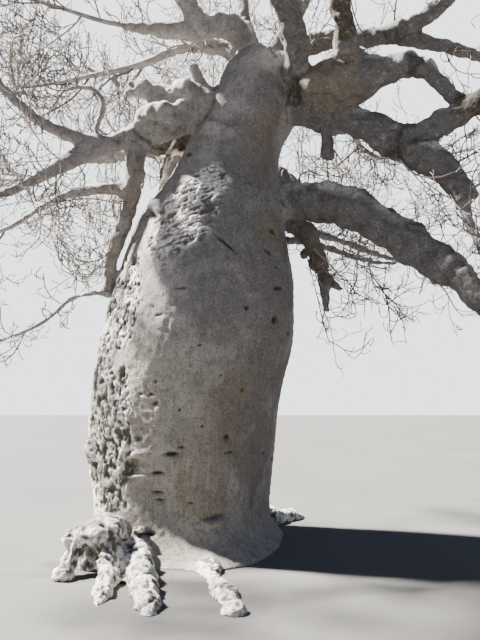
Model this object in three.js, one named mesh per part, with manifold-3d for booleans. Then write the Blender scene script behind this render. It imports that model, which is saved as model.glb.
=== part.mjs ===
// A boab tree in the dry season: a swollen trunk on a flared foot, tapering boughs that droop and
// turn up again, and bare curly twigs. Millimetres, +Z up, the ground is the plane z = 0.
// Headings are degrees from +X towards +Y, rises are degrees above level.
import * as THREE from "three";
import { mergeVertices } from "three/addons/utils/BufferGeometryUtils.js";
import Module from "manifold-3d";

const wasm = await Module();
wasm.setup();

// Gap that every piece keeps to the one it grows from
const GAP = 0.35;
// Block of ground that the foot is cut off by
const GROUND = { width: 8000, depth: 2000 };
// Vertices nearer to each other or to an axis than these count as one, or as on it
const MERGE = 1e-5;
const ON_AXIS = 1e-6;

// Trunk: radius and sideways lean of its axis at each height
const TRUNK_STATIONS = [
  { height: 0, radius: 1060, lean: 0 },
  { height: 180, radius: 985, lean: 0 },
  { height: 500, radius: 1005, lean: 0 },
  { height: 950, radius: 1075, lean: 0 },
  { height: 1600, radius: 1100, lean: 55 },
  { height: 2400, radius: 1130, lean: 190 },
  { height: 3000, radius: 1075, lean: 265 },
  { height: 3500, radius: 960, lean: 315 },
  { height: 3950, radius: 840, lean: 400 },
  { height: 4350, radius: 665, lean: 500 },
  { height: 4750, radius: 590, lean: 615 },
  { height: 5150, radius: 610, lean: 780 },
  { height: 5500, radius: 530, lean: 860 },
  { height: 5800, radius: 400, lean: 880 },
  { height: 6000, radius: 210, lean: 880 },
];
const TRUNK_SIDES = 28;
const TRUNK_RINGS = 22;
// Shallow folds that wind up the trunk: folds round it, depth, height per radian of wind, start
const TRUNK_FOLDS = [
  { folds: 5, depth: 14, wind: 700, start: 0 },
  { folds: 3, depth: 10, wind: -430, start: 1 },
];

// Flare of the foot: lobes that swell out towards the surface roots and die away upwards
const FLARES = [
  { heading: 288, swell: 430, width: 34, rise: 230 },
  { heading: 238, swell: 160, width: 24, rise: 260 },
  { heading: 190, swell: 110, width: 30, rise: 220 },
  { heading: 130, swell: 200, width: 30, rise: 260 },
  { heading: 35, swell: 220, width: 30, rise: 260 },
  { heading: 335, swell: 90, width: 26, rise: 180 },
];

// Roots that surface round the foot: knobbly ridges, cut off level with the ground
const ROOTS = [
  { x: -640, y: -900, heading: 249, length: 860, base: 250, tip: 215, high: 230, low: 240, knob: 0.16, knobs: 2 },
  { x: -600, y: -1450, heading: 262, length: 420, base: 150, tip: 110, high: 60, low: 30, knob: 0.1, knobs: 1 },
  { x: -560, y: -900, heading: 269, length: 1450, base: 135, tip: 60, high: 90, low: -10, knob: 0.14, knobs: 4 },
  { x: -400, y: -850, heading: 282, length: 1950, base: 200, tip: 105, high: 95, low: -10, knob: 0.13, knobs: 5 },
  { x: 330, y: -1200, heading: 283, length: 1500, base: 120, tip: 95, high: -10, low: -35, knob: 0.3, knobs: 2 },
  { x: 700, y: 650, heading: 40, length: 1150, base: 210, tip: 90, high: 60, low: -25, knob: 0.12, knobs: 3 },
  { x: -560, y: 760, heading: 128, length: 1000, base: 190, tip: 80, high: 60, low: -20, knob: 0.12, knobs: 3 },
];
const ROOT_SIDES = 7;
const ROOT_RINGS = 7;
const ROOT_END = { from: 0.8, least: 12 };

// Boughs in growing order. at is a height on the trunk, or a share of the parent bough's length.
// Heading turns by turn and rise by lift along the bough, with one sway up and down. The radius runs
// from base to tip, faster at the end where fade is under 1, and a swell is a lump of that radius,
// swellWide wide, at the share swellAt of the length.
const BOUGHS = [
  { name: "right_low", from: "trunk", at: 4150, heading: 356, rise: -20, turn: -41, lift: -7, sway: 17,
    length: 3150, base: 250, tip: 165, fade: 0.5 },
  { name: "right_low_drop", from: "right_low", at: 1, heading: 334, rise: -55, turn: 26, lift: 50, sway: -8,
    length: 1700, base: 165, tip: 70, fade: 0.7 },
  { name: "right_mid", from: "trunk", at: 5050, heading: 341, rise: 27, turn: -14, lift: -112, sway: -14,
    length: 3250, base: 200, tip: 60, fade: 0.6 },
  { name: "right_mid_up", from: "right_mid", at: 0.66, heading: 328, rise: 5, turn: 8, lift: 50, sway: 3,
    length: 1750, base: 155, tip: 65, fade: 0.8 },
  { name: "right_high", from: "trunk", at: 5480, heading: 334, rise: 2, turn: -4, lift: -13, sway: -10,
    length: 2050, base: 250, tip: 105, fade: 1, swell: 140, swellAt: 0.6, swellWide: 0.2 },
  { name: "right_high_drop", from: "right_high", at: 1, heading: 356, rise: -29, turn: -30, lift: -15, sway: -22,
    length: 1350, base: 112, tip: 55, fade: 0.8 },
  { name: "top_near", from: "right_high", at: 0.62, heading: 255, rise: 58, turn: -25, lift: -8, sway: -6,
    length: 2150, base: 150, tip: 65, fade: 0.8 },
  { name: "top_lean", from: "right_high", at: 0.28, heading: 274, rise: 17, turn: -80, lift: 22, sway: 18,
    length: 2350, base: 175, tip: 70, fade: 0.7 },
  { name: "top_back", from: "trunk", at: 5700, heading: 348, rise: 52, turn: -60, lift: 10, sway: -5,
    length: 2200, base: 105, tip: 50, fade: 0.8 },
  { name: "left_high", from: "trunk", at: 5800, heading: 218, rise: 46, turn: -36, lift: -46, sway: 30,
    length: 1100, base: 165, tip: 130, fade: 0.8 },
  { name: "left_high_up", from: "left_high", at: 0.9, heading: 239, rise: 43, turn: -40, lift: 14, sway: -7,
    length: 1550, base: 140, tip: 60, fade: 0.8 },
  { name: "left_high_out", from: "left_high", at: 0.95, heading: 190, rise: -8, turn: 11, lift: 5, sway: -3,
    length: 950, base: 112, tip: 34, fade: 0.7 },
  { name: "left_back", from: "trunk", at: 5600, heading: 154, rise: 77, turn: 25, lift: -109, sway: -2,
    length: 1550, base: 125, tip: 62, fade: 0.7 },
  { name: "left_shoulder", from: "trunk", at: 4950, heading: 204, rise: 16, turn: -13, lift: -44, sway: 12,
    length: 1300, base: 420, tip: 200, fade: 1 },
  { name: "left_stub", from: "left_shoulder", at: 0.5, heading: 206, rise: 24, turn: -15, lift: -19, sway: 4,
    length: 780, base: 165, tip: 85, fade: 1, swell: 30, swellAt: 0.92, swellWide: 0.12 },
  { name: "left_drop", from: "left_shoulder", at: 0.9, heading: 191, rise: -38, turn: -70, lift: -72, sway: -29,
    length: 2200, base: 135, tip: 48, fade: 0.6 },
  { name: "left_drop_tip", from: "left_drop", at: 0.97, heading: 186, rise: -19, turn: 20, lift: -19, sway: 15,
    length: 850, base: 36, tip: 22, fade: 1 },
  { name: "left_back_drop", from: "left_shoulder", at: 0.25, heading: 171, rise: -20, turn: -71, lift: -27, sway: 3,
    length: 1400, base: 205, tip: 30, fade: 1.2 },
  { name: "left_main", from: "left_shoulder", at: 0.97, heading: 198, rise: -36, turn: 12, lift: 6, sway: 6,
    length: 1900, base: 120, tip: 45, fade: 0.7 },
  { name: "left_up", from: "left_main", at: 0.3, heading: 207, rise: 2, turn: 4, lift: 47, sway: -4,
    length: 1600, base: 78, tip: 42, fade: 0.8 },
  { name: "left_hook", from: "left_main", at: 0.3, heading: 206, rise: 14, turn: -15, lift: 59, sway: 79,
    length: 1400, base: 42, tip: 20, fade: 0.8 },
  { name: "left_arm", from: "left_drop", at: 0.4, heading: 178, rise: 3, turn: 6, lift: -40, sway: 6,
    length: 1450, base: 88, tip: 32, fade: 0.8 },
  { name: "right_elbow", from: "trunk", at: 3950, heading: 2, rise: 4, turn: 26, lift: -92, sway: 12,
    length: 2250, base: 190, tip: 42, fade: 0.8 },
  { name: "right_behind", from: "trunk", at: 3800, heading: 35, rise: 0, turn: -20, lift: -10, sway: 7,
    length: 2900, base: 66, tip: 34, fade: 0.8 },
  { name: "right_behind_low", from: "trunk", at: 3700, heading: 31, rise: -20, turn: -22, lift: 30, sway: 17,
    length: 2700, base: 58, tip: 26, fade: 0.8 },
  { name: "right_rise", from: "trunk", at: 5750, heading: 14, rise: 22, turn: -40, lift: -19, sway: 17,
    length: 1950, base: 145, tip: 112, fade: 0.8 },
  { name: "right_rise_up", from: "right_rise", at: 0.97, heading: 351, rise: 24, turn: -55, lift: 40, sway: -9,
    length: 1600, base: 132, tip: 60, fade: 0.7 },
  { name: "right_rise_out", from: "right_rise", at: 0.97, heading: 11, rise: -17, turn: -12, lift: 7, sway: 10,
    length: 1600, base: 105, tip: 55, fade: 0.8 },
  { name: "back_right", from: "trunk", at: 5250, heading: 38, rise: 30, turn: 34, lift: -34, sway: -16,
    length: 3300, base: 190, tip: 60, fade: 0.7 },
  { name: "back_right_low", from: "trunk", at: 4250, heading: 72, rise: 14, turn: -42, lift: -22, sway: 18,
    length: 3400, base: 195, tip: 60, fade: 0.7 },
  { name: "back_high", from: "trunk", at: 5600, heading: 70, rise: 48, turn: 50, lift: -20, sway: -14,
    length: 2600, base: 150, tip: 60, fade: 0.7 },
  { name: "top_far", from: "trunk", at: 5800, heading: 96, rise: 58, turn: 24, lift: 14, sway: -8,
    length: 2000, base: 130, tip: 55, fade: 0.7 },
  { name: "back_low", from: "trunk", at: 4500, heading: 110, rise: 22, turn: -38, lift: -36, sway: 22,
    length: 3100, base: 210, tip: 60, fade: 0.7 },
  { name: "back_left", from: "trunk", at: 5000, heading: 104, rise: 26, turn: 40, lift: -22, sway: -18,
    length: 2800, base: 185, tip: 60, fade: 0.7 },
  { name: "back_left_low", from: "trunk", at: 5000, heading: 162, rise: 14, turn: -14, lift: -30, sway: -14,
    length: 3200, base: 175, tip: 55, fade: 0.7 },
];
const LINE_STEPS = 24;
const BOUGH_SIDES = { stout: 8, slim: 6, slimBelow: 125 };
const BOUGH_STRIDE = 4;

// Twig masses: each grows from one bough's tip and keeps to a ball of this reach. ahead is how far
// the ball's middle lies in front of the tip, as a share of the reach, lift is how far the stem turns
// up, and nuts says how many it bears.
const MASSES = [
  { name: "twigs_right_low", bough: "right_low_drop", reach: 1900, ahead: 0.64, lift: 40, nuts: 1, seed: 11 },
  { name: "twigs_right_mid", bough: "right_mid", reach: 1600, ahead: 0.68, lift: 70, nuts: 2, seed: 12 },
  { name: "twigs_right_mid_up", bough: "right_mid_up", reach: 1850, ahead: 0.64, lift: -20, nuts: 1, seed: 13 },
  { name: "twigs_right_high", bough: "right_high_drop", reach: 1450, ahead: 0.68, lift: 40, nuts: 1, seed: 14 },
  { name: "twigs_top_near", bough: "top_near", reach: 2050, ahead: 0.55, lift: 10, nuts: 0, seed: 15 },
  { name: "twigs_top_lean", bough: "top_lean", reach: 2000, ahead: 0.59, lift: 20, nuts: 1, seed: 16 },
  { name: "twigs_top_back", bough: "top_back", reach: 1900, ahead: 0.59, lift: 0, nuts: 0, seed: 17 },
  { name: "twigs_left_high_up", bough: "left_high_up", reach: 2000, ahead: 0.55, lift: 0, nuts: 0, seed: 18 },
  { name: "twigs_left_high", bough: "left_high_out", reach: 1900, ahead: 0.68, lift: 10, nuts: 0, seed: 19 },
  { name: "twigs_left_back", bough: "left_back", reach: 1900, ahead: 0.68, lift: 40, nuts: 0, seed: 20 },
  { name: "twigs_left_drop", bough: "left_drop_tip", reach: 1300, ahead: 0.68, lift: 20, nuts: 0, seed: 21 },
  { name: "twigs_left_main", bough: "left_main", reach: 1750, ahead: 0.68, lift: 50, nuts: 0, seed: 22 },
  { name: "twigs_left_up", bough: "left_up", reach: 2000, ahead: 0.64, lift: -30, nuts: 1, seed: 23 },
  { name: "twigs_left_arm", bough: "left_arm", reach: 1400, ahead: 0.68, lift: 60, nuts: 0, seed: 24 },
  { name: "twigs_right_behind", bough: "right_behind", reach: 1550, ahead: 0.64, lift: 10, nuts: 2, seed: 25 },
  { name: "twigs_right_rise_up", bough: "right_rise_up", reach: 2050, ahead: 0.59, lift: -20, nuts: 0, seed: 26 },
  { name: "twigs_right_rise_out", bough: "right_rise_out", reach: 1850, ahead: 0.64, lift: 20, nuts: 1, seed: 27 },
  { name: "twigs_back_right", bough: "back_right", reach: 2050, ahead: 0.55, lift: 20, nuts: 1, seed: 28 },
  { name: "twigs_back_right_low", bough: "back_right_low", reach: 1900, ahead: 0.55, lift: 20, nuts: 1, seed: 29 },
  { name: "twigs_back_high", bough: "back_high", reach: 2050, ahead: 0.55, lift: 0, nuts: 0, seed: 30 },
  { name: "twigs_top_far", bough: "top_far", reach: 1900, ahead: 0.55, lift: 0, nuts: 0, seed: 34 },
  { name: "twigs_back_low", bough: "back_low", reach: 1900, ahead: 0.55, lift: 30, nuts: 1, seed: 31 },
  { name: "twigs_back_left", bough: "back_left", reach: 2050, ahead: 0.55, lift: 10, nuts: 0, seed: 32 },
  { name: "twigs_back_left_low", bough: "back_left_low", reach: 1800, ahead: 0.55, lift: 30, nuts: 1, seed: 33 },
];

// Twig rule: how many side twigs each order bears, and the range that each of a side twig's values is
// drawn from. first and span place it along its parent, away turns it off to one side, tilt is its rise
// over half its parent's, and curl brings it back round.
const TWIG_ORDERS = [
  { children: 5, sides: 4, stride: 3 },
  { children: 2, sides: 3, stride: 4 },
  { children: 0, sides: 3, stride: 6 },
];
const TWIG_STEPS = 12;
const TWIG_TRIES = 4;
const TWIG_DRAWS = 16;
const TWIG_PLACE = { first: 0.1, span: 0.85, look: 0.02 };
const TWIG_AWAY = { least: 35, most: 90 };
const TWIG_TILT = { least: -70, most: 40 };
const TWIG_CURL = { least: 10, most: 70 };
const TWIG_LIFT = { least: 20, most: 110 };
const TWIG_SWAY = { least: -25, most: 25 };
const TWIG_SHRINK = { least: 0.55, most: 0.9 };
const TWIG_THIN = { least: 0.55, most: 0.75 };
const TWIG_RISE = { kept: 0.5, lowest: -80, highest: 70 };
const TWIG_SHORTER = 0.35;
const TWIG_TIP = 5;
// Stem of a mass: how far it starts inside the bough's tip, and how far it runs past the ball's middle
const STEM = { sunk: 30, past: 0.4, sway: 8, base: 0.92 };
// Room that twigs keep to the next mass's space, to limbs, to the trunk and to the ground
const CELL_MARGIN = 30;
const LIMB_MARGIN = 25;
const TRUNK_MARGIN = 40;
const TRUNK_STEP = 300;
const GROUND_MARGIN = 350;
// Hanging nut, and how far below the twig's tip its middle lies, as a share of its length
const NUT = { length: 120, radius: 42, hang: 0.42 };

const COLOURS = { trunk: 0xa19c92, bough: 0x8f8b83, twig: 0x7d766d };

// Seeded draws
function seeded(seed) {
  let state = seed >>> 0;
  return () => {
    state = (state + 0x6d2b79f5) >>> 0;
    let mixed = Math.imul(state ^ (state >>> 15), state | 1);
    mixed = (mixed + Math.imul(mixed ^ (mixed >>> 7), mixed | 61)) ^ mixed;
    return ((mixed ^ (mixed >>> 14)) >>> 0) / 4294967296;
  };
}

function childSeed(seed, index) {
  return (Math.imul(seed, 2654435761) + Math.imul(index + 1, 40503)) >>> 0;
}

// Directions and centre lines
function direction(heading, rise) {
  const h = THREE.MathUtils.degToRad(heading);
  const r = THREE.MathUtils.degToRad(rise);
  return new THREE.Vector3(Math.cos(r) * Math.cos(h), Math.cos(r) * Math.sin(h), Math.sin(r));
}

function centreLine(limb, start, steps) {
  const points = [start.clone()];
  for (let i = 0; i < steps; i += 1) {
    const t = (i + 0.5) / steps;
    const heading = limb.heading + limb.turn * t;
    const rise = limb.rise + limb.lift * t + limb.sway * Math.sin(2 * Math.PI * t);
    points.push(points[i].clone().addScaledVector(direction(heading, rise), limb.length / steps));
  }
  return points;
}

function pointAt(points, share) {
  const last = points.length - 1;
  const i = Math.min(Math.floor(share * last), last - 1);
  return points[i].clone().lerp(points[i + 1], share * last - i);
}

// A smooth reading of the trunk's stations at one height
function station(height, key) {
  const s = TRUNK_STATIONS;
  let i = 0;
  while (i < s.length - 2 && s[i + 1].height < height) i += 1;
  const before = s[Math.max(i - 1, 0)];
  const after = s[Math.min(i + 2, s.length - 1)];
  const span = s[i + 1].height - s[i].height;
  const slopeIn = (s[i + 1][key] - before[key]) / (s[i + 1].height - before.height);
  const slopeOut = (after[key] - s[i][key]) / (after.height - s[i].height);
  const t = (height - s[i].height) / span;
  const rest = 1 - t;
  return s[i][key] * (1 + 2 * t) * rest * rest + slopeIn * span * t * rest * rest
    + s[i + 1][key] * t * t * (3 - 2 * t) - slopeOut * span * t * t * rest;
}

function trunkRadius(height, angle) {
  let radius = station(height, "radius");
  for (const flare of FLARES) {
    const off = THREE.MathUtils.euclideanModulo(angle - flare.heading + 180, 360) - 180;
    radius += flare.swell * Math.exp(-((off / flare.width) ** 2)) * Math.exp(-height / flare.rise);
  }
  for (const { folds, depth, wind, start } of TRUNK_FOLDS) {
    radius += depth * Math.sin(folds * THREE.MathUtils.degToRad(angle) + height / wind + start);
  }
  return radius;
}

// Solids
function closed(geometry) {
  geometry.deleteAttribute("normal");
  geometry.deleteAttribute("uv");
  return mergeVertices(geometry, MERGE);
}

function solidOf(geometry) {
  const vertProperties = Float32Array.from(geometry.getAttribute("position").array);
  const triVerts = Uint32Array.from(geometry.getIndex().array);
  return new wasm.Manifold(new wasm.Mesh({ numProp: 3, vertProperties, triVerts }));
}

function geometryOf(solid) {
  const mesh = solid.getMesh();
  const geometry = new THREE.BufferGeometry();
  geometry.setAttribute("position", new THREE.BufferAttribute(new Float32Array(mesh.vertProperties), 3));
  geometry.setIndex(new THREE.BufferAttribute(new Uint32Array(mesh.triVerts), 1));
  return geometry;
}

// A cylinder bent along a line, with a ring at each of the line's points that stops lists. Each vertex
// moves to its ring, at the radius that radiusAt gives for that point. A pointed one ends in one vertex.
function sweep(line, stops, sides, radiusAt, pointed = false) {
  const rings = stops.length - 1;
  const shape = closed(new THREE.CylinderGeometry(pointed ? 0 : 1, 1, 1, sides, rings));
  const place = shape.getAttribute("position");
  const frames = framesAlong(line);
  const vertex = new THREE.Vector3();
  for (let i = 0; i < place.count; i += 1) {
    vertex.fromBufferAttribute(place, i);
    const stop = stops[Math.round((vertex.y + 0.5) * rings)];
    const angle = Math.atan2(vertex.z, vertex.x);
    const reach = Math.hypot(vertex.x, vertex.z) > ON_AXIS ? radiusAt(stop) : 0;
    const { side, other } = frames[stop];
    vertex.copy(line[stop]).addScaledVector(side, reach * Math.cos(angle));
    vertex.addScaledVector(other, reach * Math.sin(angle));
    place.setXYZ(i, vertex.x, vertex.y, vertex.z);
  }
  return shape;
}

function everyOther(stride, last) {
  return Array.from({ length: last / stride + 1 }, (_, i) => i * stride);
}

function framesAlong(line) {
  const frames = [];
  let side = new THREE.Vector3(0.3, 0.2, 1);
  for (let i = 0; i < line.length; i += 1) {
    const ahead = line[Math.min(i + 1, line.length - 1)].clone().sub(line[Math.max(i - 1, 0)]).normalize();
    side = side.clone().addScaledVector(ahead, -side.dot(ahead)).normalize();
    frames.push({ side, other: side.clone().cross(ahead) });
  }
  return frames;
}

function boughRadius(bough, share) {
  const taper = bough.tip + (bough.base - bough.tip) * (1 - share) ** bough.fade;
  if (!bough.swell) return taper;
  return taper + bough.swell * Math.exp(-(((share - bough.swellAt) / bough.swellWide) ** 2));
}

// Trunk, with its surface roots fused on and its foot cut level
function rootSolid(root) {
  const course = { ...root, rise: 0, turn: 0, lift: 0, sway: 0 };
  const line = centreLine(course, new THREE.Vector3(root.x, root.y, 0), ROOT_RINGS);
  line.forEach((point, i) => { point.z = root.high + (root.low - root.high) * (i / ROOT_RINGS); });
  const radiusAt = (stop) => {
    const share = stop / ROOT_RINGS;
    const taper = root.base + (root.tip - root.base) * share;
    const past = Math.max(0, (share - ROOT_END.from) / (1 - ROOT_END.from));
    const knob = 1 + root.knob * Math.sin(2 * Math.PI * root.knobs * share);
    return Math.max(ROOT_END.least, taper * knob * Math.sqrt(1 - past ** 2));
  };
  return solidOf(sweep(line, everyOther(1, ROOT_RINGS), ROOT_SIDES, radiusAt));
}

function trunkSolid(extra) {
  const top = TRUNK_STATIONS.at(-1).height;
  const shape = closed(new THREE.CylinderGeometry(1, 1, 1, TRUNK_SIDES, TRUNK_RINGS));
  const place = shape.getAttribute("position");
  for (let i = 0; i < place.count; i += 1) {
    const height = (place.getY(i) + 0.5) * top;
    const angle = Math.atan2(-place.getZ(i), place.getX(i));
    const degrees = THREE.MathUtils.radToDeg(angle);
    const reach = Math.hypot(place.getX(i), place.getZ(i)) * (trunkRadius(height, degrees) + extra);
    const lift = height === top ? extra : 0;
    place.setXYZ(i, station(height, "lean") + reach * Math.cos(angle), reach * Math.sin(angle), height + lift);
  }
  const ground = closed(new THREE.BoxGeometry(GROUND.width, GROUND.width, GROUND.depth));
  ground.translate(0, 0, -GROUND.depth / 2);
  const pieces = [solidOf(shape), ...ROOTS.map(rootSolid)];
  return wasm.Manifold.union(pieces).subtract(solidOf(ground));
}

// Boughs: each starts on its parent's axis, and what runs inside earlier wood is cut away
const grown = new Map();

function growBoughs() {
  for (const bough of BOUGHS) {
    const parent = grown.get(bough.from);
    const start = parent
      ? pointAt(parent.line, bough.at)
      : new THREE.Vector3(station(bough.at, "lean"), 0, bough.at);
    grown.set(bough.name, { bough, line: centreLine(bough, start, LINE_STEPS) });
  }
}

function boughSolid({ bough, line }) {
  const stops = everyOther(BOUGH_STRIDE, LINE_STEPS);
  return solidOf(sweep(line, stops, boughSides(bough), (stop) => boughRadius(bough, stop / LINE_STEPS)));
}

// The room a bough takes up: its solid, larger all round by the gap that its neighbours keep
function boughRoom({ bough, line }) {
  const whole = [beyond(line[1], line[0]), ...line, beyond(line.at(-2), line.at(-1))];
  const stops = [0, ...everyOther(BOUGH_STRIDE, LINE_STEPS).map((stop) => stop + 1), LINE_STEPS + 2];
  const radiusAt = (stop) => {
    const share = THREE.MathUtils.clamp((stop - 1) / LINE_STEPS, 0, 1);
    return boughRadius(bough, share) + GAP;
  };
  return solidOf(sweep(whole, stops, boughSides(bough), radiusAt));
}

function beyond(inner, end) {
  const ahead = end.clone().sub(inner).normalize();
  return end.clone().addScaledVector(ahead, GAP);
}

function boughSides(bough) {
  return bough.base < BOUGH_SIDES.slimBelow ? BOUGH_SIDES.slim : BOUGH_SIDES.stout;
}

function largest(solid) {
  const parts = solid.decompose();
  return parts.reduce((best, part) => (part.volume() > best.volume() ? part : best));
}

// Twig masses: the space each may use, and the twigs that grow in it
function segmentsOf({ bough, line }) {
  const segments = [];
  for (let i = 0; i + 2 < line.length; i += 2) {
    segments.push({ from: line[i], to: line[i + 2], radius: boughRadius(bough, i / LINE_STEPS) });
  }
  return segments;
}

function trunkSegments() {
  const segments = [];
  for (let z = 0; z < TRUNK_STATIONS.at(-1).height; z += TRUNK_STEP) {
    const from = new THREE.Vector3(station(z, "lean"), 0, z);
    const to = new THREE.Vector3(station(z + TRUNK_STEP, "lean"), 0, z + TRUNK_STEP);
    segments.push({ from, to, radius: station(z, "radius") + TRUNK_MARGIN });
  }
  return segments;
}

function distanceToSegment(point, { from, to }) {
  const along = to.clone().sub(from);
  const share = THREE.MathUtils.clamp(point.clone().sub(from).dot(along) / along.lengthSq(), 0, 1);
  return point.distanceTo(from.clone().addScaledVector(along, share));
}

function massSpace(mass) {
  const { bough, line } = grown.get(mass.bough);
  const tip = line.at(-1);
  const ahead = tip.clone().sub(line.at(-2)).normalize();
  const towards = direction(bough.heading + bough.turn, bough.rise + bough.lift + mass.lift / 2);
  return { tip, ahead, middle: tip.clone().addScaledVector(towards, mass.reach * mass.ahead), reach: mass.reach };
}

// Inside the mass's ball, on its own side of the plane to every other ball, and clear of all wood
function isFree(point, radius, space, others, segments) {
  if (point.z < GROUND_MARGIN) return false;
  const power = point.distanceToSquared(space.middle) - space.reach ** 2;
  if (point.distanceTo(space.middle) > space.reach - radius) return false;
  for (const other of others) {
    const between = space.middle.distanceTo(other.middle);
    const gap = point.distanceToSquared(other.middle) - other.reach ** 2 - power;
    if (gap < 2 * between * (CELL_MARGIN + radius)) return false;
  }
  return segments.every((segment) => (
    distanceToSegment(point, segment) > segment.radius + radius + LIMB_MARGIN
  ));
}

function stemOf(mass, space) {
  const { bough } = grown.get(mass.bough);
  return {
    start: space.tip.clone().addScaledVector(space.ahead, -STEM.sunk),
    heading: bough.heading + bough.turn,
    rise: bough.rise + bough.lift,
    turn: 0,
    lift: mass.lift,
    sway: STEM.sway,
    length: mass.reach * (mass.ahead + STEM.past),
    base: bough.tip * STEM.base,
    order: 0,
    seed: mass.seed,
  };
}

// A side twig leaves its parent on one side, droops or rises, and curls back up towards its tip
function sideTwig(parent, index, attempt) {
  const draw = seeded(childSeed(parent.seed, index * TWIG_DRAWS + attempt));
  const between = ({ least, most }) => least + (most - least) * draw();
  const { children } = TWIG_ORDERS[parent.order];
  const share = TWIG_PLACE.first + (TWIG_PLACE.span * (index + draw())) / children;
  const next = pointAt(parent.line, Math.min(1, share + TWIG_PLACE.look));
  const ahead = next.sub(pointAt(parent.line, share - TWIG_PLACE.look)).normalize();
  const heading = THREE.MathUtils.radToDeg(Math.atan2(ahead.y, ahead.x));
  const rise = THREE.MathUtils.radToDeg(Math.asin(THREE.MathUtils.clamp(ahead.z, -1, 1)));
  const side = (index + attempt) % 2 === 0 ? -1 : 1;
  const tilted = (tilt) => (
    THREE.MathUtils.clamp(rise * TWIG_RISE.kept + tilt, TWIG_RISE.lowest, TWIG_RISE.highest)
  );
  return {
    start: pointAt(parent.line, share),
    heading: heading + side * between(TWIG_AWAY),
    rise: tilted(between(TWIG_TILT)),
    turn: -side * between(TWIG_CURL),
    lift: between(TWIG_LIFT),
    sway: between(TWIG_SWAY),
    length: parent.length * between(TWIG_SHRINK) * (1 - TWIG_SHORTER * share),
    base: Math.max(TWIG_TIP, twigRadius(parent, share) * between(TWIG_THIN)),
    order: parent.order + 1,
    seed: childSeed(parent.seed, index),
  };
}

function twigRadius(twig, share) {
  return TWIG_TIP + (twig.base - TWIG_TIP) * (1 - share);
}

function fits(twig, space, others, segments) {
  return twig.line.every((point, i) => (
    i === 0 || i % 2 === 1 || isFree(point, twigRadius(twig, i / TWIG_STEPS), space, others, segments)
  ));
}

function growMass(mass, spaces, segments) {
  const space = spaces.get(mass.name);
  const others = [...spaces.values()].filter((one) => (
    one !== space && one.middle.distanceTo(space.middle) < one.reach + space.reach
  ));
  const near = segments.filter((one) => (
    distanceToSegment(space.middle, one) < space.reach + one.radius + LIMB_MARGIN
  ));
  const stem = stemOf(mass, space);
  stem.line = centreLine(stem, stem.start, TWIG_STEPS);
  const twigs = [stem];
  for (let i = 0; i < twigs.length; i += 1) {
    const parent = twigs[i];
    for (let k = 0; k < TWIG_ORDERS[parent.order].children; k += 1) {
      for (let attempt = 0; attempt < TWIG_TRIES; attempt += 1) {
        const twig = sideTwig(parent, k, attempt);
        twig.line = centreLine(twig, twig.start, TWIG_STEPS);
        if (fits(twig, space, others, near)) {
          twigs.push(twig);
          break;
        }
      }
    }
  }
  return twigs;
}

function twigSolid(twig) {
  const { sides, stride } = TWIG_ORDERS[twig.order];
  const stops = everyOther(stride, TWIG_STEPS);
  return solidOf(sweep(twig.line, stops, sides, (stop) => twigRadius(twig, stop / TWIG_STEPS), true));
}

// A nut hangs under a twig's tip, sunk a little into it
function nutSolid(twig) {
  const nut = closed(new THREE.IcosahedronGeometry(1, 0));
  nut.scale(NUT.radius, NUT.radius, NUT.length / 2);
  const tip = twig.line.at(-1);
  nut.translate(tip.x, tip.y, tip.z - NUT.length * NUT.hang);
  return solidOf(nut);
}

function massSolid(mass, twigs) {
  const bearing = twigs.slice(twigs.length - mass.nuts);
  const pieces = [...twigs.map(twigSolid), ...bearing.map(nutSolid)];
  const bough = boughRoom(grown.get(mass.bough));
  return largest(wasm.Manifold.union(pieces).subtract(bough));
}

// The tree
function meshOf(name, solid, colour) {
  const material = new THREE.MeshStandardMaterial({ color: colour, roughness: 0.9, metalness: 0 });
  const mesh = new THREE.Mesh(geometryOf(solid), material);
  mesh.name = name;
  return mesh;
}

const tree = new THREE.Group();
tree.add(meshOf("trunk", trunkSolid(0), COLOURS.trunk));
growBoughs();

let earlier = trunkSolid(GAP);
for (const entry of grown.values()) {
  const solid = largest(boughSolid(entry).subtract(earlier));
  tree.add(meshOf(entry.bough.name, solid, COLOURS.bough));
  earlier = earlier.add(boughRoom(entry));
}

const segments = [...trunkSegments(), ...[...grown.values()].flatMap(segmentsOf)];
const spaces = new Map(MASSES.map((mass) => [mass.name, massSpace(mass)]));
for (const mass of MASSES) {
  tree.add(meshOf(mass.name, massSolid(mass, growMass(mass, spaces, segments)), COLOURS.twig));
}

export default tree;
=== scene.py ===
import math
from dataclasses import dataclass, field, replace

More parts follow.
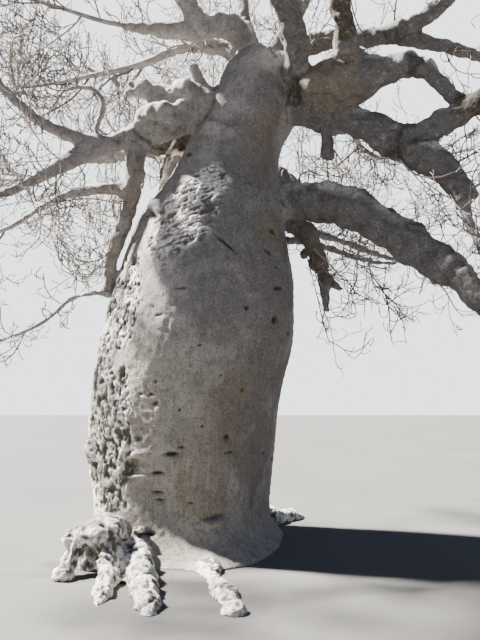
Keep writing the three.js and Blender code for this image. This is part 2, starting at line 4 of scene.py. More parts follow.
import bmesh
import bpy
import numpy as np
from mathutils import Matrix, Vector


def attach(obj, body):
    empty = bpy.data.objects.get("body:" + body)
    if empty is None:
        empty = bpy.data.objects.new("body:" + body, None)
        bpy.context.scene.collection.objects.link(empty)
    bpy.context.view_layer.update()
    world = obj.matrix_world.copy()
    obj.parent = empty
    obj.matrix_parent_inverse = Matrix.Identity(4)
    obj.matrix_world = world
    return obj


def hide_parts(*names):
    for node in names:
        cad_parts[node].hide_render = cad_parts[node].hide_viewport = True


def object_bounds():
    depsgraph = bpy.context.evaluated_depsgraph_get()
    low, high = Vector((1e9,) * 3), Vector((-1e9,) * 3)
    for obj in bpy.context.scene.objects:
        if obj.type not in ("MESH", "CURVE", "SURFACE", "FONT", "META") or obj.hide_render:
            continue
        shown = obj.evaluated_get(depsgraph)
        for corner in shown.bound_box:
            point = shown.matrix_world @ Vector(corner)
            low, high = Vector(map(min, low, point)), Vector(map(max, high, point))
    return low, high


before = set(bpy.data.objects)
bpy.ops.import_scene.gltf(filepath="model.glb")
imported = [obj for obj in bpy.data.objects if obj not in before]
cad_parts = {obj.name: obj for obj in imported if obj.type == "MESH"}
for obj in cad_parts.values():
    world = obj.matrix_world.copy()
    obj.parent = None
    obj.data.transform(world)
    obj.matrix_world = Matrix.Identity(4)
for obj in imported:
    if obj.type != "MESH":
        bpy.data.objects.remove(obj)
cad_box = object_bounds()

# Trunk: height, radius and sideways lean of its axis. The last two columns have names
RADIUS = 1
LEAN = 2
TRUNK_STATIONS = np.array([
    (0.00, 1.060, 0.000),
    (0.18, 0.985, 0.000),
    (0.50, 1.005, 0.000),
    (0.95, 1.075, 0.000),
    (1.60, 1.100, 0.055),
    (2.40, 1.130, 0.190),
    (3.00, 1.075, 0.265),
    (3.50, 0.960, 0.315),
    (3.95, 0.840, 0.400),
    (4.35, 0.665, 0.500),
    (4.75, 0.590, 0.615),
    (5.15, 0.610, 0.780),
    (5.50, 0.530, 0.860),
    (5.80, 0.400, 0.880),
    (6.00, 0.210, 0.880),
])
TRUNK_TOP = 6.0
TRUNK_SIDES = 128
TRUNK_RINGS = 200
# Folds that wind up the trunk: how many round it, depth, height per radian of wind, start
TRUNK_FOLDS = ((5, 0.014, 0.70, 0), (3, 0.010, -0.43, 1))
# Lobes of the flared foot: heading, swell, width in degrees, height at which they die away
FLARES = (
    (288, 0.43, 34, 0.23),
    (238, 0.16, 24, 0.26),
    (190, 0.11, 30, 0.22),
    (130, 0.20, 30, 0.26),
    (35, 0.22, 30, 0.26),
    (335, 0.09, 26, 0.18),
)
# How far the rough solids run below the ground before they are cut level with it
BELOW = 0.12


@dataclass(frozen=True)
class Root:
    """A surface root: where it starts, where it runs, its radii, and its axis at both ends."""
    x: float
    y: float
    heading: float
    length: float
    base: float
    tip: float
    high: float
    low: float
    knob: float
    knobs: int
    turn: float = 0
    rise: float = 0
    lift: float = 0
    sway: float = 0


ROOTS = (
    Root(-0.54, -1.00, 274, 1.50, 0.150, 0.070, 0.10, -0.01, 0.16, 4),
    Root(-0.37, -1.05, 283, 1.75, 0.140, 0.115, 0.09, -0.01, 0.15, 5),
    Root(0.33, -1.20, 283, 1.50, 0.100, 0.085, -0.02, -0.030, 0.30, 2),
    Root(0.70, 0.65, 40, 1.15, 0.210, 0.090, 0.06, -0.025, 0.12, 3),
    Root(-0.56, 0.76, 128, 1.00, 0.190, 0.080, 0.06, -0.02, 0.12, 3),
)
# Knobs that the roots and the foot are lumpy with: middle and radius. The first stand together as a
# flattened cap on two feet, left of the photographed side
KNOBS = (
    (-0.60, -0.98, 0.28, 0.140),
    (-0.64, -1.14, 0.34, 0.140),
    (-0.66, -1.32, 0.37, 0.135),
    (-0.70, -1.46, 0.36, 0.135),
    (-0.56, -1.40, 0.35, 0.125),
    (-0.82, -1.48, 0.34, 0.110),
    (-0.91, -1.52, 0.32, 0.085),
    (-0.64, -1.58, 0.33, 0.110),
    (-0.78, -1.60, 0.32, 0.095),
    (-0.80, -1.25, 0.20, 0.150),
    (-0.84, -1.54, 0.22, 0.085),
    (-0.88, -1.62, 0.13, 0.085),
    (-0.90, -1.72, 0.04, 0.095),
    (-0.72, -1.32, 0.08, 0.150),
    (-0.55, -1.48, 0.24, 0.120),
    (-0.54, -1.66, 0.14, 0.120),
    (-0.33, -1.10, 0.28, 0.070),
    (-0.32, -1.17, 0.18, 0.065),
    (-0.27, -1.22, 0.12, 0.090),
    (-0.14, -1.80, 0.03, 0.110),
    (0.64, -2.62, -0.02, 0.090),
    (-0.42, -0.58, 4.87, 0.130),
    (-0.30, -0.68, 4.88, 0.120),
    (-0.17, -0.70, 4.87, 0.155),
    (-0.02, -0.70, 4.95, 0.090),
    (-0.10, 0.04, 4.56, 0.160),
    (-0.16, 0.04, 4.42, 0.140),
    (-0.22, 0.03, 4.28, 0.110),
)
ROOT_STEPS = 24
ROOT_SIDES = 20
# Where along a root its rounded end starts, and the least radius there
ROOT_END = (0.8, 0.012)


@dataclass(frozen=True)
class Bough:
    """One limb. at is a height on the trunk, or a share of the parent bough's length.

    The radius runs from base to tip, faster at the end where fade is under 1. swell is a lump:
    how much it adds, and its place and width as shares of the length.
    """
    name: str
    start: str
    at: float
    heading: float
    rise: float
    turn: float
    lift: float
    sway: float
    length: float
    base: float
    tip: float
    fade: float
    swell: tuple = (0, 0, 1)


BOUGHS = (
    Bough("right_low", "trunk", 4.15, 356, -20, -41, -7, 17, 3.15, 0.25, 0.165, 0.5),
    Bough("right_low_drop", "right_low", 1, 334, -55, 26, 50, -8, 1.7, 0.165, 0.07, 0.7),
    Bough("right_mid", "trunk", 5.05, 341, 27, -14, -112, -14, 3.25, 0.2, 0.06, 0.6),
    Bough("right_mid_up", "right_mid", 0.66, 328, 5, 8, 50, 3, 1.75, 0.155, 0.065, 0.8),
    Bough("right_high", "trunk", 5.48, 334, 2, -4, -13, -10, 2.05, 0.25, 0.105, 1, (0.14, 0.6, 0.2)),
    Bough("right_high_drop", "right_high", 1, 356, -29, -30, -15, -22, 1.35, 0.112, 0.055, 0.8),
    Bough("top_near", "right_high", 0.62, 255, 58, -25, -8, -6, 2.15, 0.15, 0.065, 0.8),
    Bough("top_lean", "right_high", 0.28, 274, 17, -80, 22, 18, 2.35, 0.175, 0.07, 0.7),
    Bough("top_back", "trunk", 5.7, 348, 52, -60, 10, -5, 2.2, 0.105, 0.05, 0.8),
    Bough("left_high", "trunk", 5.8, 218, 46, -36, -46, 30, 1.1, 0.165, 0.13, 0.8),
    Bough("left_high_up", "left_high", 0.9, 239, 43, -40, 14, -7, 1.55, 0.14, 0.06, 0.8),
    Bough("left_high_out", "left_high", 0.95, 190, -8, 11, 5, -3, 0.95, 0.112, 0.034, 0.7),
    Bough("left_back", "trunk", 5.6, 154, 77, 25, -109, -2, 1.55, 0.125, 0.062, 0.7),
    Bough("left_shoulder", "trunk", 4.95, 204, 16, -13, -44, 12, 1.3, 0.42, 0.2, 1),
    Bough(
        "left_stub", "left_shoulder", 0.5, 206, 24, -15, -19, 4, 0.78, 0.165, 0.085, 1, (0.03, 0.92, 0.12),
    ),
    Bough("left_drop", "left_shoulder", 0.9, 191, -38, -70, -72, -29, 2.2, 0.135, 0.048, 0.6),
    Bough("left_drop_tip", "left_drop", 0.97, 186, -19, 20, -19, 15, 0.85, 0.036, 0.022, 1),
    Bough("left_back_drop", "left_shoulder", 0.25, 171, -20, -71, -27, 3, 1.4, 0.205, 0.03, 1.2),
    Bough("left_main", "left_shoulder", 0.97, 198, -36, 12, 6, 6, 1.9, 0.12, 0.045, 0.7),
    Bough("left_up", "left_main", 0.3, 207, 2, 4, 47, -4, 1.6, 0.078, 0.042, 0.8),
    Bough("left_hook", "left_main", 0.3, 206, 14, -15, 59, 79, 1.4, 0.042, 0.02, 0.8),
    Bough("left_arm", "left_drop", 0.4, 178, 3, 6, -40, 6, 1.45, 0.088, 0.032, 0.8),
    Bough("right_elbow", "trunk", 3.95, 2, 4, 26, -92, 12, 2.25, 0.19, 0.042, 0.8),
    Bough("right_behind", "trunk", 3.8, 35, 0, -20, -10, 7, 2.9, 0.066, 0.034, 0.8),
    Bough("right_behind_low", "trunk", 3.7, 31, -20, -22, 30, 17, 2.7, 0.058, 0.026, 0.8),
    Bough("right_rise", "trunk", 5.75, 14, 22, -40, -19, 17, 1.95, 0.145, 0.112, 0.8),
    Bough("right_rise_up", "right_rise", 0.97, 351, 24, -55, 40, -9, 1.6, 0.132, 0.06, 0.7),
    Bough("right_rise_out", "right_rise", 0.97, 11, -17, -12, 7, 10, 1.6, 0.105, 0.055, 0.8),
    Bough("back_right", "trunk", 5.25, 38, 30, 34, -34, -16, 3.3, 0.19, 0.06, 0.7),
    Bough("back_right_low", "trunk", 4.25, 72, 14, -42, -22, 18, 3.4, 0.195, 0.06, 0.7),
    Bough("back_high", "trunk", 5.6, 70, 48, 50, -20, -14, 2.6, 0.15, 0.06, 0.7),
    Bough("top_far", "trunk", 5.8, 96, 58, 24, 14, -8, 2, 0.13, 0.055, 0.7),
    Bough("back_low", "trunk", 4.5, 110, 22, -38, -36, 22, 3.1, 0.21, 0.06, 0.7),
    Bough("back_left", "trunk", 5, 104, 26, 40, -22, -18, 2.8, 0.185, 0.06, 0.7),
    Bough("back_left_low", "trunk", 5, 162, 14, -14, -30, -14, 3.2, 0.175, 0.055, 0.7),
)
LINE_STEPS = 24
BOUGH_SIDES = 24


@dataclass(frozen=True)
class Mass:
    """The twigs on one bough's tip, which keep to a ball of this reach ahead of it."""
    name: str
    bough: str
    reach: float
    ahead: float
    lift: float
    nuts: int
    seed: int


MASSES = (
    Mass("twigs_right_low", "right_low_drop", 1.9, 0.64, 40, 1, 11),
    Mass("twigs_right_mid", "right_mid", 1.6, 0.68, 70, 2, 12),
    Mass("twigs_right_mid_up", "right_mid_up", 1.85, 0.64, -20, 1, 13),
    Mass("twigs_right_high", "right_high_drop", 1.45, 0.68, 40, 1, 14),
    Mass("twigs_top_near", "top_near", 2.05, 0.55, 10, 0, 15),
    Mass("twigs_top_lean", "top_lean", 2, 0.59, 20, 1, 16),
    Mass("twigs_top_back", "top_back", 1.9, 0.59, 0, 0, 17),
    Mass("twigs_left_high_up", "left_high_up", 2, 0.55, 0, 0, 18),
    Mass("twigs_left_high", "left_high_out", 1.9, 0.68, 10, 0, 19),
    Mass("twigs_left_back", "left_back", 1.9, 0.68, 40, 0, 20),
    Mass("twigs_left_drop", "left_drop_tip", 1.3, 0.68, 20, 0, 21),
    Mass("twigs_left_main", "left_main", 1.75, 0.68, 50, 0, 22),
    Mass("twigs_left_up", "left_up", 2, 0.64, -30, 1, 23),
    Mass("twigs_left_arm", "left_arm", 1.4, 0.68, 60, 0, 24),
    Mass("twigs_right_behind", "right_behind", 1.55, 0.64, 10, 2, 25),
    Mass("twigs_right_rise_up", "right_rise_up", 2.05, 0.59, -20, 0, 26),
    Mass("twigs_right_rise_out", "right_rise_out", 1.85, 0.64, 20, 1, 27),
    Mass("twigs_back_right", "back_right", 2.05, 0.55, 20, 1, 28),
    Mass("twigs_back_right_low", "back_right_low", 1.9, 0.55, 20, 1, 29),
    Mass("twigs_back_high", "back_high", 2.05, 0.55, 0, 0, 30),
    Mass("twigs_top_far", "top_far", 1.9, 0.55, 0, 0, 34),
    Mass("twigs_back_low", "back_low", 1.9, 0.55, 30, 1, 31),
    Mass("twigs_back_left", "back_left", 2.05, 0.55, 10, 0, 32),
    Mass("twigs_back_left_low", "back_left_low", 1.8, 0.55, 30, 1, 33),
)


@dataclass(frozen=True)
class Rule:
    """The ranges that a side twig's values are drawn from. Only place isn't one: it is where along their
    parent such twigs start, and over how much of it they spread. away turns a twig off to one side, tilt
    is its rise over half its parent's, and curl brings it back."""
    place: tuple = (0.1, 0.85)
    away: tuple = (35, 90)
    tilt: tuple = (-70, 40)
    curl: tuple = (10, 70)
    lift: tuple = (20, 110)
    sway: tuple = (-25, 25)
    shrink: tuple = (0.55, 0.9)
    thin: tuple = (0.55, 0.75)


# The source's twigs: how many side twigs each order bears
COARSE = Rule()
COARSE_CHILDREN = (5, 2, 0)
# The finer twigs that only this script grows: one for each length of parent, in three generations
FINE = (
    (0.20, replace(COARSE, shrink=(0.42, 0.80), lift=(20, 120), sway=(-32, 32), thin=(0.45, 0.65))),
    (0.16, replace(COARSE, shrink=(0.40, 0.75), lift=(10, 130), sway=(-42, 42), curl=(10, 90))),
    (0.17, replace(COARSE, shrink=(0.38, 0.68), lift=(0, 140), sway=(-45, 45), curl=(10, 110))),
)
# The longest of each generation, its radius at the tip, and the shortest twig that is kept
FINE_MOST = (1.15, 0.65, 0.32)
FINE_TIP = (0.0070, 0.0060, 0.0053)
FINE_LEAST = 0.04
# Shoots that stand along the boughs themselves, one for each length of bough
SHOOT = replace(
    COARSE, place=(0.40, 0.58), away=(20, 115), tilt=(-80, 60), curl=(10, 120), lift=(0, 150),
    sway=(-55, 55), shrink=(0.38, 0.78), thin=(0.08, 0.15),
)
SHOOT_SPACING = 0.18
SHOOT_MOST = 1.7
SHOOT_TIP = 0.007
SHOOT_SEED = 60
# Boughs that bear no shoots
SHOOTLESS = ("left_shoulder", "left_stub", "left_back_drop", "right_high", "top_lean", "right_low")
# How much further apart the twigs stand on each side's boughs
SPARSER = {"left": 0.8, "right": 2.2, "top": 1.3, "back": 2.0}

# The photo's camera and sun. The photo shows some boughs bare and some bark in full sun, so nothing
# finer than the source's twigs stands in front of those boughs, and few between the sun and those places
EYE = np.array([0.68, -7.7, 1.6])
SUN_HEADING = 164
SUN_RISE = 46
BARE = (
    "right_low", "right_mid", "right_mid_up", "right_high", "top_near", "top_lean",
    "left_shoulder", "left_stub", "left_drop", "left_back_drop", "left_high", "left_main",
)
# Middle and radius of each sunlit place
SUNLIT = np.array([
    (0.06, -0.78, 3.82, 0.38),
    (-0.05, -0.94, 3.34, 0.28),
    (-0.43, -0.81, 2.90, 0.26),
    (-0.65, -0.79, 2.20, 0.20),
    (-0.14, -0.69, 5.00, 0.20),
])
# Of the finer twigs that shade those places, the first many in the second many stay
SHADE_KEPT = 2
SHADE_OF = 5

# Steps along a twig's line, and how often a twig is tried before it is left out
TWIG_STEPS = 12
TWIG_TRIES = 4
# Room in the row of seeds for the tries of one twig, and where the finer twigs' seeds start
TWIG_DRAWS = 16
FINE_DRAWS = 64
# How far to both sides, along its parent, a twig looks for its parent's direction
TWIG_LOOK = 0.02
# How much of its parent's rise a twig keeps, and the least and the most that it may rise at its base
TWIG_RISE = (0.5, -80, 70)
# How much shorter a twig is at its parent's tip than at its parent's base
TWIG_SHORTER = 0.35
TWIG_TIP = 0.005
# Every so many points of a twig's line are tested for room
COARSE_TEST = 2
FINE_TEST = 4
# A mass's stem: how far it starts inside its bough, how far it runs past the middle of its ball, its
# sway, and its radius over its bough's
STEM_SUNK = 0.03
STEM_PAST = 0.4
STEM_SWAY = 8
STEM_BASE = 0.92
# The least room between twigs and the next mass, a bough, the trunk and the ground
CELL_MARGIN = 0.03
LIMB_MARGIN = 0.025
TRUNK_MARGIN = 0.04
GROUND_MARGIN = 0.35
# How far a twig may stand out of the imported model's box, as a share of each side of it
BOX_ROOM = 0.022
# The straight stretches that stand for wood: their height on the trunk, and their steps of a bough
TRUNK_STEP = 0.3
LIMB_STEP = 2


# Seeded draws, as in the source. The large numbers only scatter the bits
WORD = 0xFFFFFFFF


def seeded(seed):
    state = seed & WORD

    def draw():
        nonlocal state
        state = (state + 0x6D2B79F5) & WORD
        mixed = ((state ^ (state >> 15)) * (state | 1)) & WORD
        mixed = ((mixed + (mixed ^ (mixed >> 7)) * (mixed | 61)) ^ mixed) & WORD
        return (mixed ^ (mixed >> 14)) / (WORD + 1)

    return draw


def child_seed(seed, index):
    return (seed * 2654435761 + (index + 1) * 40503) & WORD


# Lines
def between(limits, share):
    """The value that lies this share of the way from the first limit to the second."""
    return limits[0] + (limits[1] - limits[0]) * share


def turned(heading, middle):
    """How many degrees a heading is turned from a middle one, from -180 to 180."""
    return (heading - middle + 180) % 360 - 180


def direction(heading, rise):
    turn = np.radians(heading)
    climb = np.radians(rise)
    return np.stack([np.cos(climb) * np.cos(turn), np.cos(climb) * np.sin(turn), np.sin(climb)], axis=-1)


def centre_line(limb, start, steps):
    """A limb's line from its start: its heading turns and its rise lifts and sways along it."""
    share = (np.arange(steps) + 0.5) / steps
    heading = limb.heading + limb.turn * share
    rise = limb.rise + limb.lift * share + limb.sway * np.sin(2 * np.pi * share)
    moves = direction(heading, rise) * (limb.length / steps)
    return np.vstack([start, start + np.cumsum(moves, axis=0)])


def point_at(line, share):
    last = len(line) - 1
    before = min(int(share * last), last - 1)
    part = share * last - before
    return line[before] * (1 - part) + line[before + 1] * part


def unit(vectors):
    return vectors / np.linalg.norm(vectors, axis=-1, keepdims=True)


def station(height, column):
    """A smooth reading of one column of the trunk's stations at each height."""
    heights, values = TRUNK_STATIONS[:, 0], TRUNK_STATIONS[:, column]
    low = np.minimum(np.searchsorted(heights[1:], height), len(heights) - 2)
    high = low + 1
    before = np.maximum(low - 1, 0)
    after = np.minimum(low + 2, len(heights) - 1)
    span = heights[high] - heights[low]
    slope_in = (values[high] - values[before]) / (heights[high] - heights[before])
    slope_out = (values[after] - values[low]) / (heights[after] - heights[low])
    part = (height - heights[low]) / span
    rest = 1 - part
    return (values[low] * (1 + 2 * part) * rest * rest + slope_in * span * part * rest * rest
            + values[high] * part * part * (3 - 2 * part) - slope_out * span * part * part * rest)


def trunk_radius(height, heading):
    height = np.clip(height, 0, TRUNK_TOP)
    radius = station(height, RADIUS)
    for middle, swell, width, rise in FLARES:
        off = turned(heading, middle)
        radius = radius + swell * np.exp(-((off / width) ** 2)) * np.exp(-height / rise)
    for folds, depth, wind, start in TRUNK_FOLDS:
        radius = radius + depth * np.sin(folds * np.radians(heading) + height / wind + start)
    return radius


def bough_radius(bough, share):
    swell, middle, width = bough.swell
    taper = between((bough.tip, bough.base), (1 - share) ** bough.fade)
    return taper + swell * np.exp(-(((share - middle) / width) ** 2))


def grow_boughs():
    """Each bough's centre line, by name."""
    lines = {}
    for bough in BOUGHS:
        if bough.start == "trunk":
            start = np.array([float(station(bough.at, LEAN)), 0.0, bough.at])
        else:
            start = point_at(lines[bough.start], bough.at)
        lines[bough.name] = centre_line(bough, start, LINE_STEPS)
    return lines


# Tubes. Their rings start from a direction that no line here runs along
RING_START = (0.3, 0.2, 1.0)


def tube_faces(rings, sides):
    """The triangles of one tube: a flat base, the walls, and a fan to its end point, which comes last."""
    around = np.arange(sides)
    after = (around + 1) % sides
    first = around[1:-1]
    faces = [np.stack([np.zeros_like(first), first + 1, first], axis=1)]
    for ring in range(rings - 1):
        low = ring * sides
        faces.append(np.stack([low + around, low + after, low + sides + after], axis=1))
        faces.append(np.stack([low + around, low + sides + after, low + sides + around], axis=1))
    last = (rings - 1) * sides
    faces.append(np.stack([last + around, last + after, np.full(sides, rings * sides)], axis=1))
    return np.vstack(faces)


def ring_axes(lines):
    """Two directions square to each line at each of its points, which don't twist along it."""
    ahead = unit(np.gradient(lines, axis=1))
    side = np.empty_like(lines)
    current = np.tile(RING_START, (len(lines), 1))
    for point in range(lines.shape[1]):
        along = ahead[:, point]
        current = unit(current - along * (current * along).sum(axis=1, keepdims=True))
        side[:, point] = current
    return side, np.cross(ahead, side)


def tubes(lines, radii, sides, pointed=True):
    """Closed tubes along lines (tube, point, axis) of radii (tube, point), as points and triangles."""
    rings = radii.shape[1] - 1 if pointed else radii.shape[1]
    side, other = ring_axes(lines)
    turn = 2 * np.pi * np.arange(sides) / sides
    ring = side[:, :rings, None] * np.cos(turn)[:, None] + other[:, :rings, None] * np.sin(turn)[:, None]
    walls = lines[:, :rings, None] + radii[:, :rings, None, None] * ring
    walls = walls.reshape(len(lines), rings * sides, 3)
    points = np.concatenate([walls, lines[:, -1:]], axis=1)
    offsets = np.arange(len(lines)) * (rings * sides + 1)
    faces = tube_faces(rings, sides) + offsets[:, None, None]
    return points.reshape(-1, 3), faces.reshape(-1, 3)


class Heap:
    """Points and triangles that are put together into one mesh, with a tone for each triangle."""

    def __init__(self):
        self.points = []
        self.faces = []
        self.tones = []
        self.count = 0

    def add(self, points, faces, tone=0):
        self.points.append(points)
        self.faces.append(faces + self.count)
        self.tones.append(np.broadcast_to(tone, len(faces)))
        self.count += len(points)

    def mesh(self, name):
        faces = np.vstack(self.faces)
        mesh = bpy.data.meshes.new(name)
        mesh.vertices.add(self.count)
        mesh.vertices.foreach_set("co", np.vstack(self.points).astype(np.float32).ravel())
        mesh.loops.add(faces.size)
        mesh.loops.foreach_set("vertex_index", faces.astype(np.int32).ravel())
        mesh.polygons.add(len(faces))
        mesh.polygons.foreach_set("loop_start", np.arange(0, faces.size, 3, dtype=np.int32))
        mesh.polygons.foreach_set("material_index", np.concatenate(self.tones).astype(np.int32))
        mesh.update(calc_edges=True)
        mesh.shade_smooth()
        return mesh


def show(name, mesh, materials, nodes=()):
    """Puts a finished mesh on the tree as a piece that stands for these nodes."""
    piece = bpy.data.objects.new(name, mesh)
    bpy.context.scene.collection.objects.link(piece)
    for material in materials:
        mesh.materials.append(material)
    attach(piece, "root")
    if nodes:
        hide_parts(*nodes)


# Noise for relief. The noises of two seeds lie this many cells apart
SEED_SHIFT = 7.31


def lattice(cells, seed):
    """A random value from -1 to 1 for each whole-number cell. The large numbers only scatter its bits."""
    mixed = (cells[0] * 73856093) ^ (cells[1] * 19349663) ^ (cells[2] * 83492791) ^ (seed * 2654435761)
    mixed = ((mixed ^ (mixed >> 13)) & WORD) * 1274126177 & WORD
    mixed = ((mixed ^ (mixed >> 15)) & WORD) * 2246822519 & WORD
    return (mixed ^ (mixed >> 16)) / (WORD / 2) - 1


def noise(points, size, seed):
    """Smooth noise from -1 to 1 whose lumps are about size metres across, or (x, y, z) metres."""
    place = points / np.asarray(size) + seed * SEED_SHIFT
    low = np.floor(place).astype(np.int64)
    part = place - low
    part = part * part * (3 - 2 * part)
    total = np.zeros(len(points))
    for corner in range(8):
        step = ((corner >> 2) & 1, (corner >> 1) & 1, corner & 1)
        weight = np.ones(len(points))
        for axis in range(3):
            weight *= part[:, axis] if step[axis] else 1 - part[:, axis]
        total += weight * lattice([low[:, axis] + step[axis] for axis in range(3)], seed)
    return total


def ramp(value, low, high):
    """0 at low, 1 at high, smooth between."""
    part = np.clip((value - low) / (high - low), 0, 1)
    return part * part * (3 - 2 * part)


# Bark of the trunk, roots and boughs: rough solids, run together, smoothed and given their relief. It is
# twice as fine where the bark is crumbled or marked
VOXEL = 0.02
BARK_TRIANGLES = 360000
# Bark lies at a joint where the second nearest limb is less than this further off than the nearest
JOINT_WIDTH = 0.09
# Rounds of smoothing and how far each moves a point: over everything, and then at the joints
SETTLE = (3, 0.5)
JOINT_SETTLE = (24, 0.6)

# Lumps that stand on the limbs: bough, share of its length, heading and rise off its axis, how far out
# the lump's middle lies, and its radius
LUMPS = (
    ("top_near", 0.30, 250, 10, 0.07, 0.130),
    ("top_near", 0.36, 150, 40, 0.07, 0.085),
    ("top_lean", 0.62, 200, 40, 0.06, 0.105),
    ("top_lean", 0.70, 300, 30, 0.05, 0.080),
    ("right_high", 0.42, 262, -50, 0.12, 0.230),
    ("right_high", 0.66, 262, -40, 0.13, 0.170),
    ("right_high", 0.95, 240, 50, 0.05, 0.110),
    ("right_mid_up", 0.22, 250, 60, 0.07, 0.120),
    ("right_mid_up", 0.45, 260, -30, 0.06, 0.115),
    ("right_mid_up", 0.62, 90, 50, 0.05, 0.110),
    ("right_mid", 0.66, 250, 30, 0.06, 0.135),
    ("right_low", 0.50, 262, -70, 0.10, 0.180),
    ("right_low", 0.28, 270, -50, 0.09, 0.190),
    ("right_low", 0.86, 265, -30, 0.06, 0.150),
    ("left_main", 0.16, 250, 60, 0.04, 0.090),
    ("left_drop", 0.12, 262, 10, 0.02, 0.150),
    ("left_drop", 0.32, 350, 10, 0.04, 0.120),
    ("left_drop", 0.42, 180, 20, 0.03, 0.115),
    ("left_drop", 0.60, 200, 10, 0.03, 0.090),
    ("right_mid", 0.76, 270, -30, 0.02, 0.135),
    ("right_mid", 0.87, 260, -20, 0.02, 0.125),
    ("right_mid", 0.97, 250, -30, 0.03, 0.110),
    ("left_high", 0.50, 250, 60, 0.07, 0.130),
    ("left_high", 0.85, 240, -40, 0.05, 0.125),
    ("left_shoulder", 0.55, 255, 30, 0.20, 0.200),
    ("left_shoulder", 0.20, 262, -20, 0.20, 0.230),
    ("left_shoulder", 0.95, 262, 10, 0.10, 0.160),
    ("left_shoulder", 0.75, 240, 65, 0.16, 0.120),
    ("left_stub", 0.80, 250, 40, 0.06, 0.085),
    ("left_stub", 0.97, 170, 60, 0.06, 0.080),
    ("left_stub", 1.00, 210, -60, 0.08, 0.070),
    ("left_stub", 0.60, 240, -50, 0.08, 0.100),
    ("right_elbow", 0.55, 262, 0, 0.05, 0.150),
    ("right_elbow", 0.72, 200, -20, 0.04, 0.115),
    ("right_elbow", 0.83, 300, 0, 0.04, 0.095),
    ("back_right", 0.35, 20, 50, 0.08, 0.150),
    ("back_low", 0.40, 100, 50, 0.08, 0.150),
    ("back_left", 0.30, 120, 40, 0.08, 0.140),
    ("back_left_low", 0.45, 160, 50, 0.07, 0.130),
    ("back_right_low", 0.50, 60, 50, 0.08, 0.150),
)
LUMP_SIDES = 18
LUMP_RINGS = 12
# Where a knob's lowest ring stands, as an angle from its lowest point
LUMP_START = 0.05

# Short snapped-off stubs, and two stretches where a bough is thicker: bough, share, heading, rise,
# length, radius at its base and at its end
STUBS = (
    ("right_mid", 0.335, 262, -86, 0.60, 0.105, 0.085),
    ("right_mid", 0.42, 332, -36, 1.30, 0.150, 0.190),
    ("right_mid", 0.80, 331, -58, 0.60, 0.180, 0.130),
    ("right_elbow", 0.80, 340, -38, 0.30, 0.085, 0.030),
    ("right_elbow", 0.62, 215, -40, 0.26, 0.070, 0.028),
    ("left_shoulder", 0.35, 232, 62, 0.62, 0.120, 0.060),
    ("right_high", 0.16, 276, 50, 0.42, 0.130, 0.085),
    ("top_near", 0.55, 320, 20, 0.30, 0.050, 0.030),
)
STUB_STEPS = 8


@dataclass(frozen=True)
class Mark:
    """A dent in the trunk, or a knob where its depth is below 0: place, half width and half height,
    how far it is turned from level, and how dark it is painted inside: painted shade in most dents, and
    the bark's own dark in a few marks."""
    heading: float
    height: float
    wide: float
    tall: float
    tilt: float
    depth: float
    dark: float = 1.0


MARKS = (
    Mark(268.6, 1.053, 0.085, 0.024, 3, 0.060),
    Mark(273.5, 1.120, 0.040, 0.016, -5, 0.026),
    Mark(261.2, 0.860, 0.075, 0.018, 2, 0.040),
    Mark(261.0, 0.665, 0.070, 0.014, 0, 0.030),
    Mark(262.7, 0.590, 0.055, 0.013, -6, 0.026),
    Mark(256.6, 0.268, 0.075, 0.022, -10, 0.055),
    Mark(292.7, 0.416, 0.150, 0.026, 8, 0.040, 0.6),
    Mark(292.7, 0.350, 0.190, 0.035, 6, -0.022, 0),
    Mark(298.5, 1.217, 0.040, 0.035, 0, 0.042),
    Mark(300.0, 1.060, 0.080, 0.012, 6, 0.016),
    Mark(235.9, 3.547, 0.050, 0.060, 10, 0.050),
    Mark(256.9, 1.566, 0.035, 0.030, 0, 0.030),
    Mark(320.4, 2.470, 0.055, 0.050, 20, 0.038),
    Mark(300.1, 2.570, 0.035, 0.030, 0, 0.026),
    Mark(284.0, 3.262, 0.165, 0.017, -38, 0.030),
    Mark(313.2, 3.226, 0.060, 0.020, -30, 0.026),
    Mark(261.0, 2.760, 0.070, 0.012, 4, 0.018),
    Mark(251.0, 2.480, 0.045, 0.012, 6, 0.016),
    Mark(267.4, 4.709, 0.090, 0.090, 0, -0.055, 0),
    Mark(243.0, 4.780, 0.100, 0.055, -10, -0.100, 0),
    Mark(216.8, 3.835, 0.150, 0.090, -30, -0.080, 0.8),
    Mark(222.0, 3.700, 0.120, 0.040, -30, 0.050),
    Mark(268.8, 3.704, 0.120, 0.100, 0, 0.018, 0.5),
    Mark(314.5, 3.590, 0.120, 0.110, 0, -0.030, 0),
    Mark(318.5, 3.480, 0.060, 0.030, -20, 0.030),
    Mark(245.6, 0.930, 0.085, 0.085, 0, 0.085, 0.35),
    Mark(248.0, 1.035, 0.120, 0.035, 12, -0.060, 0),
    Mark(246.5, 0.818, 0.140, 0.018, 2, -0.045, 0),
    Mark(252.5, 0.910, 0.030, 0.025, 0, -0.045, 0),
    Mark(238.5, 0.960, 0.045, 0.130, 0, -0.050, 0),
    Mark(205.0, 1.030, 0.140, 0.110, 0, -0.065, 0),
    Mark(212.0, 0.900, 0.060, 0.030, 0, 0.050),
    Mark(255.5, 1.790, 0.022, 0.020, 0, 0.022),
    Mark(253.8, 1.660, 0.026, 0.018, 10, 0.024),
    Mark(276.0, 2.160, 0.022, 0.018, 0, 0.020),
    Mark(271.0, 1.500, 0.018, 0.020, 0, 0.018),
    Mark(284.0, 1.330, 0.020, 0.016, 0, 0.020),
    Mark(291.0, 1.850, 0.018, 0.016, 0, 0.018),
    Mark(306.0, 1.700, 0.024, 0.020, 0, 0.024),
    Mark(280.0, 0.560, 0.026, 0.012, 8, 0.020),
)
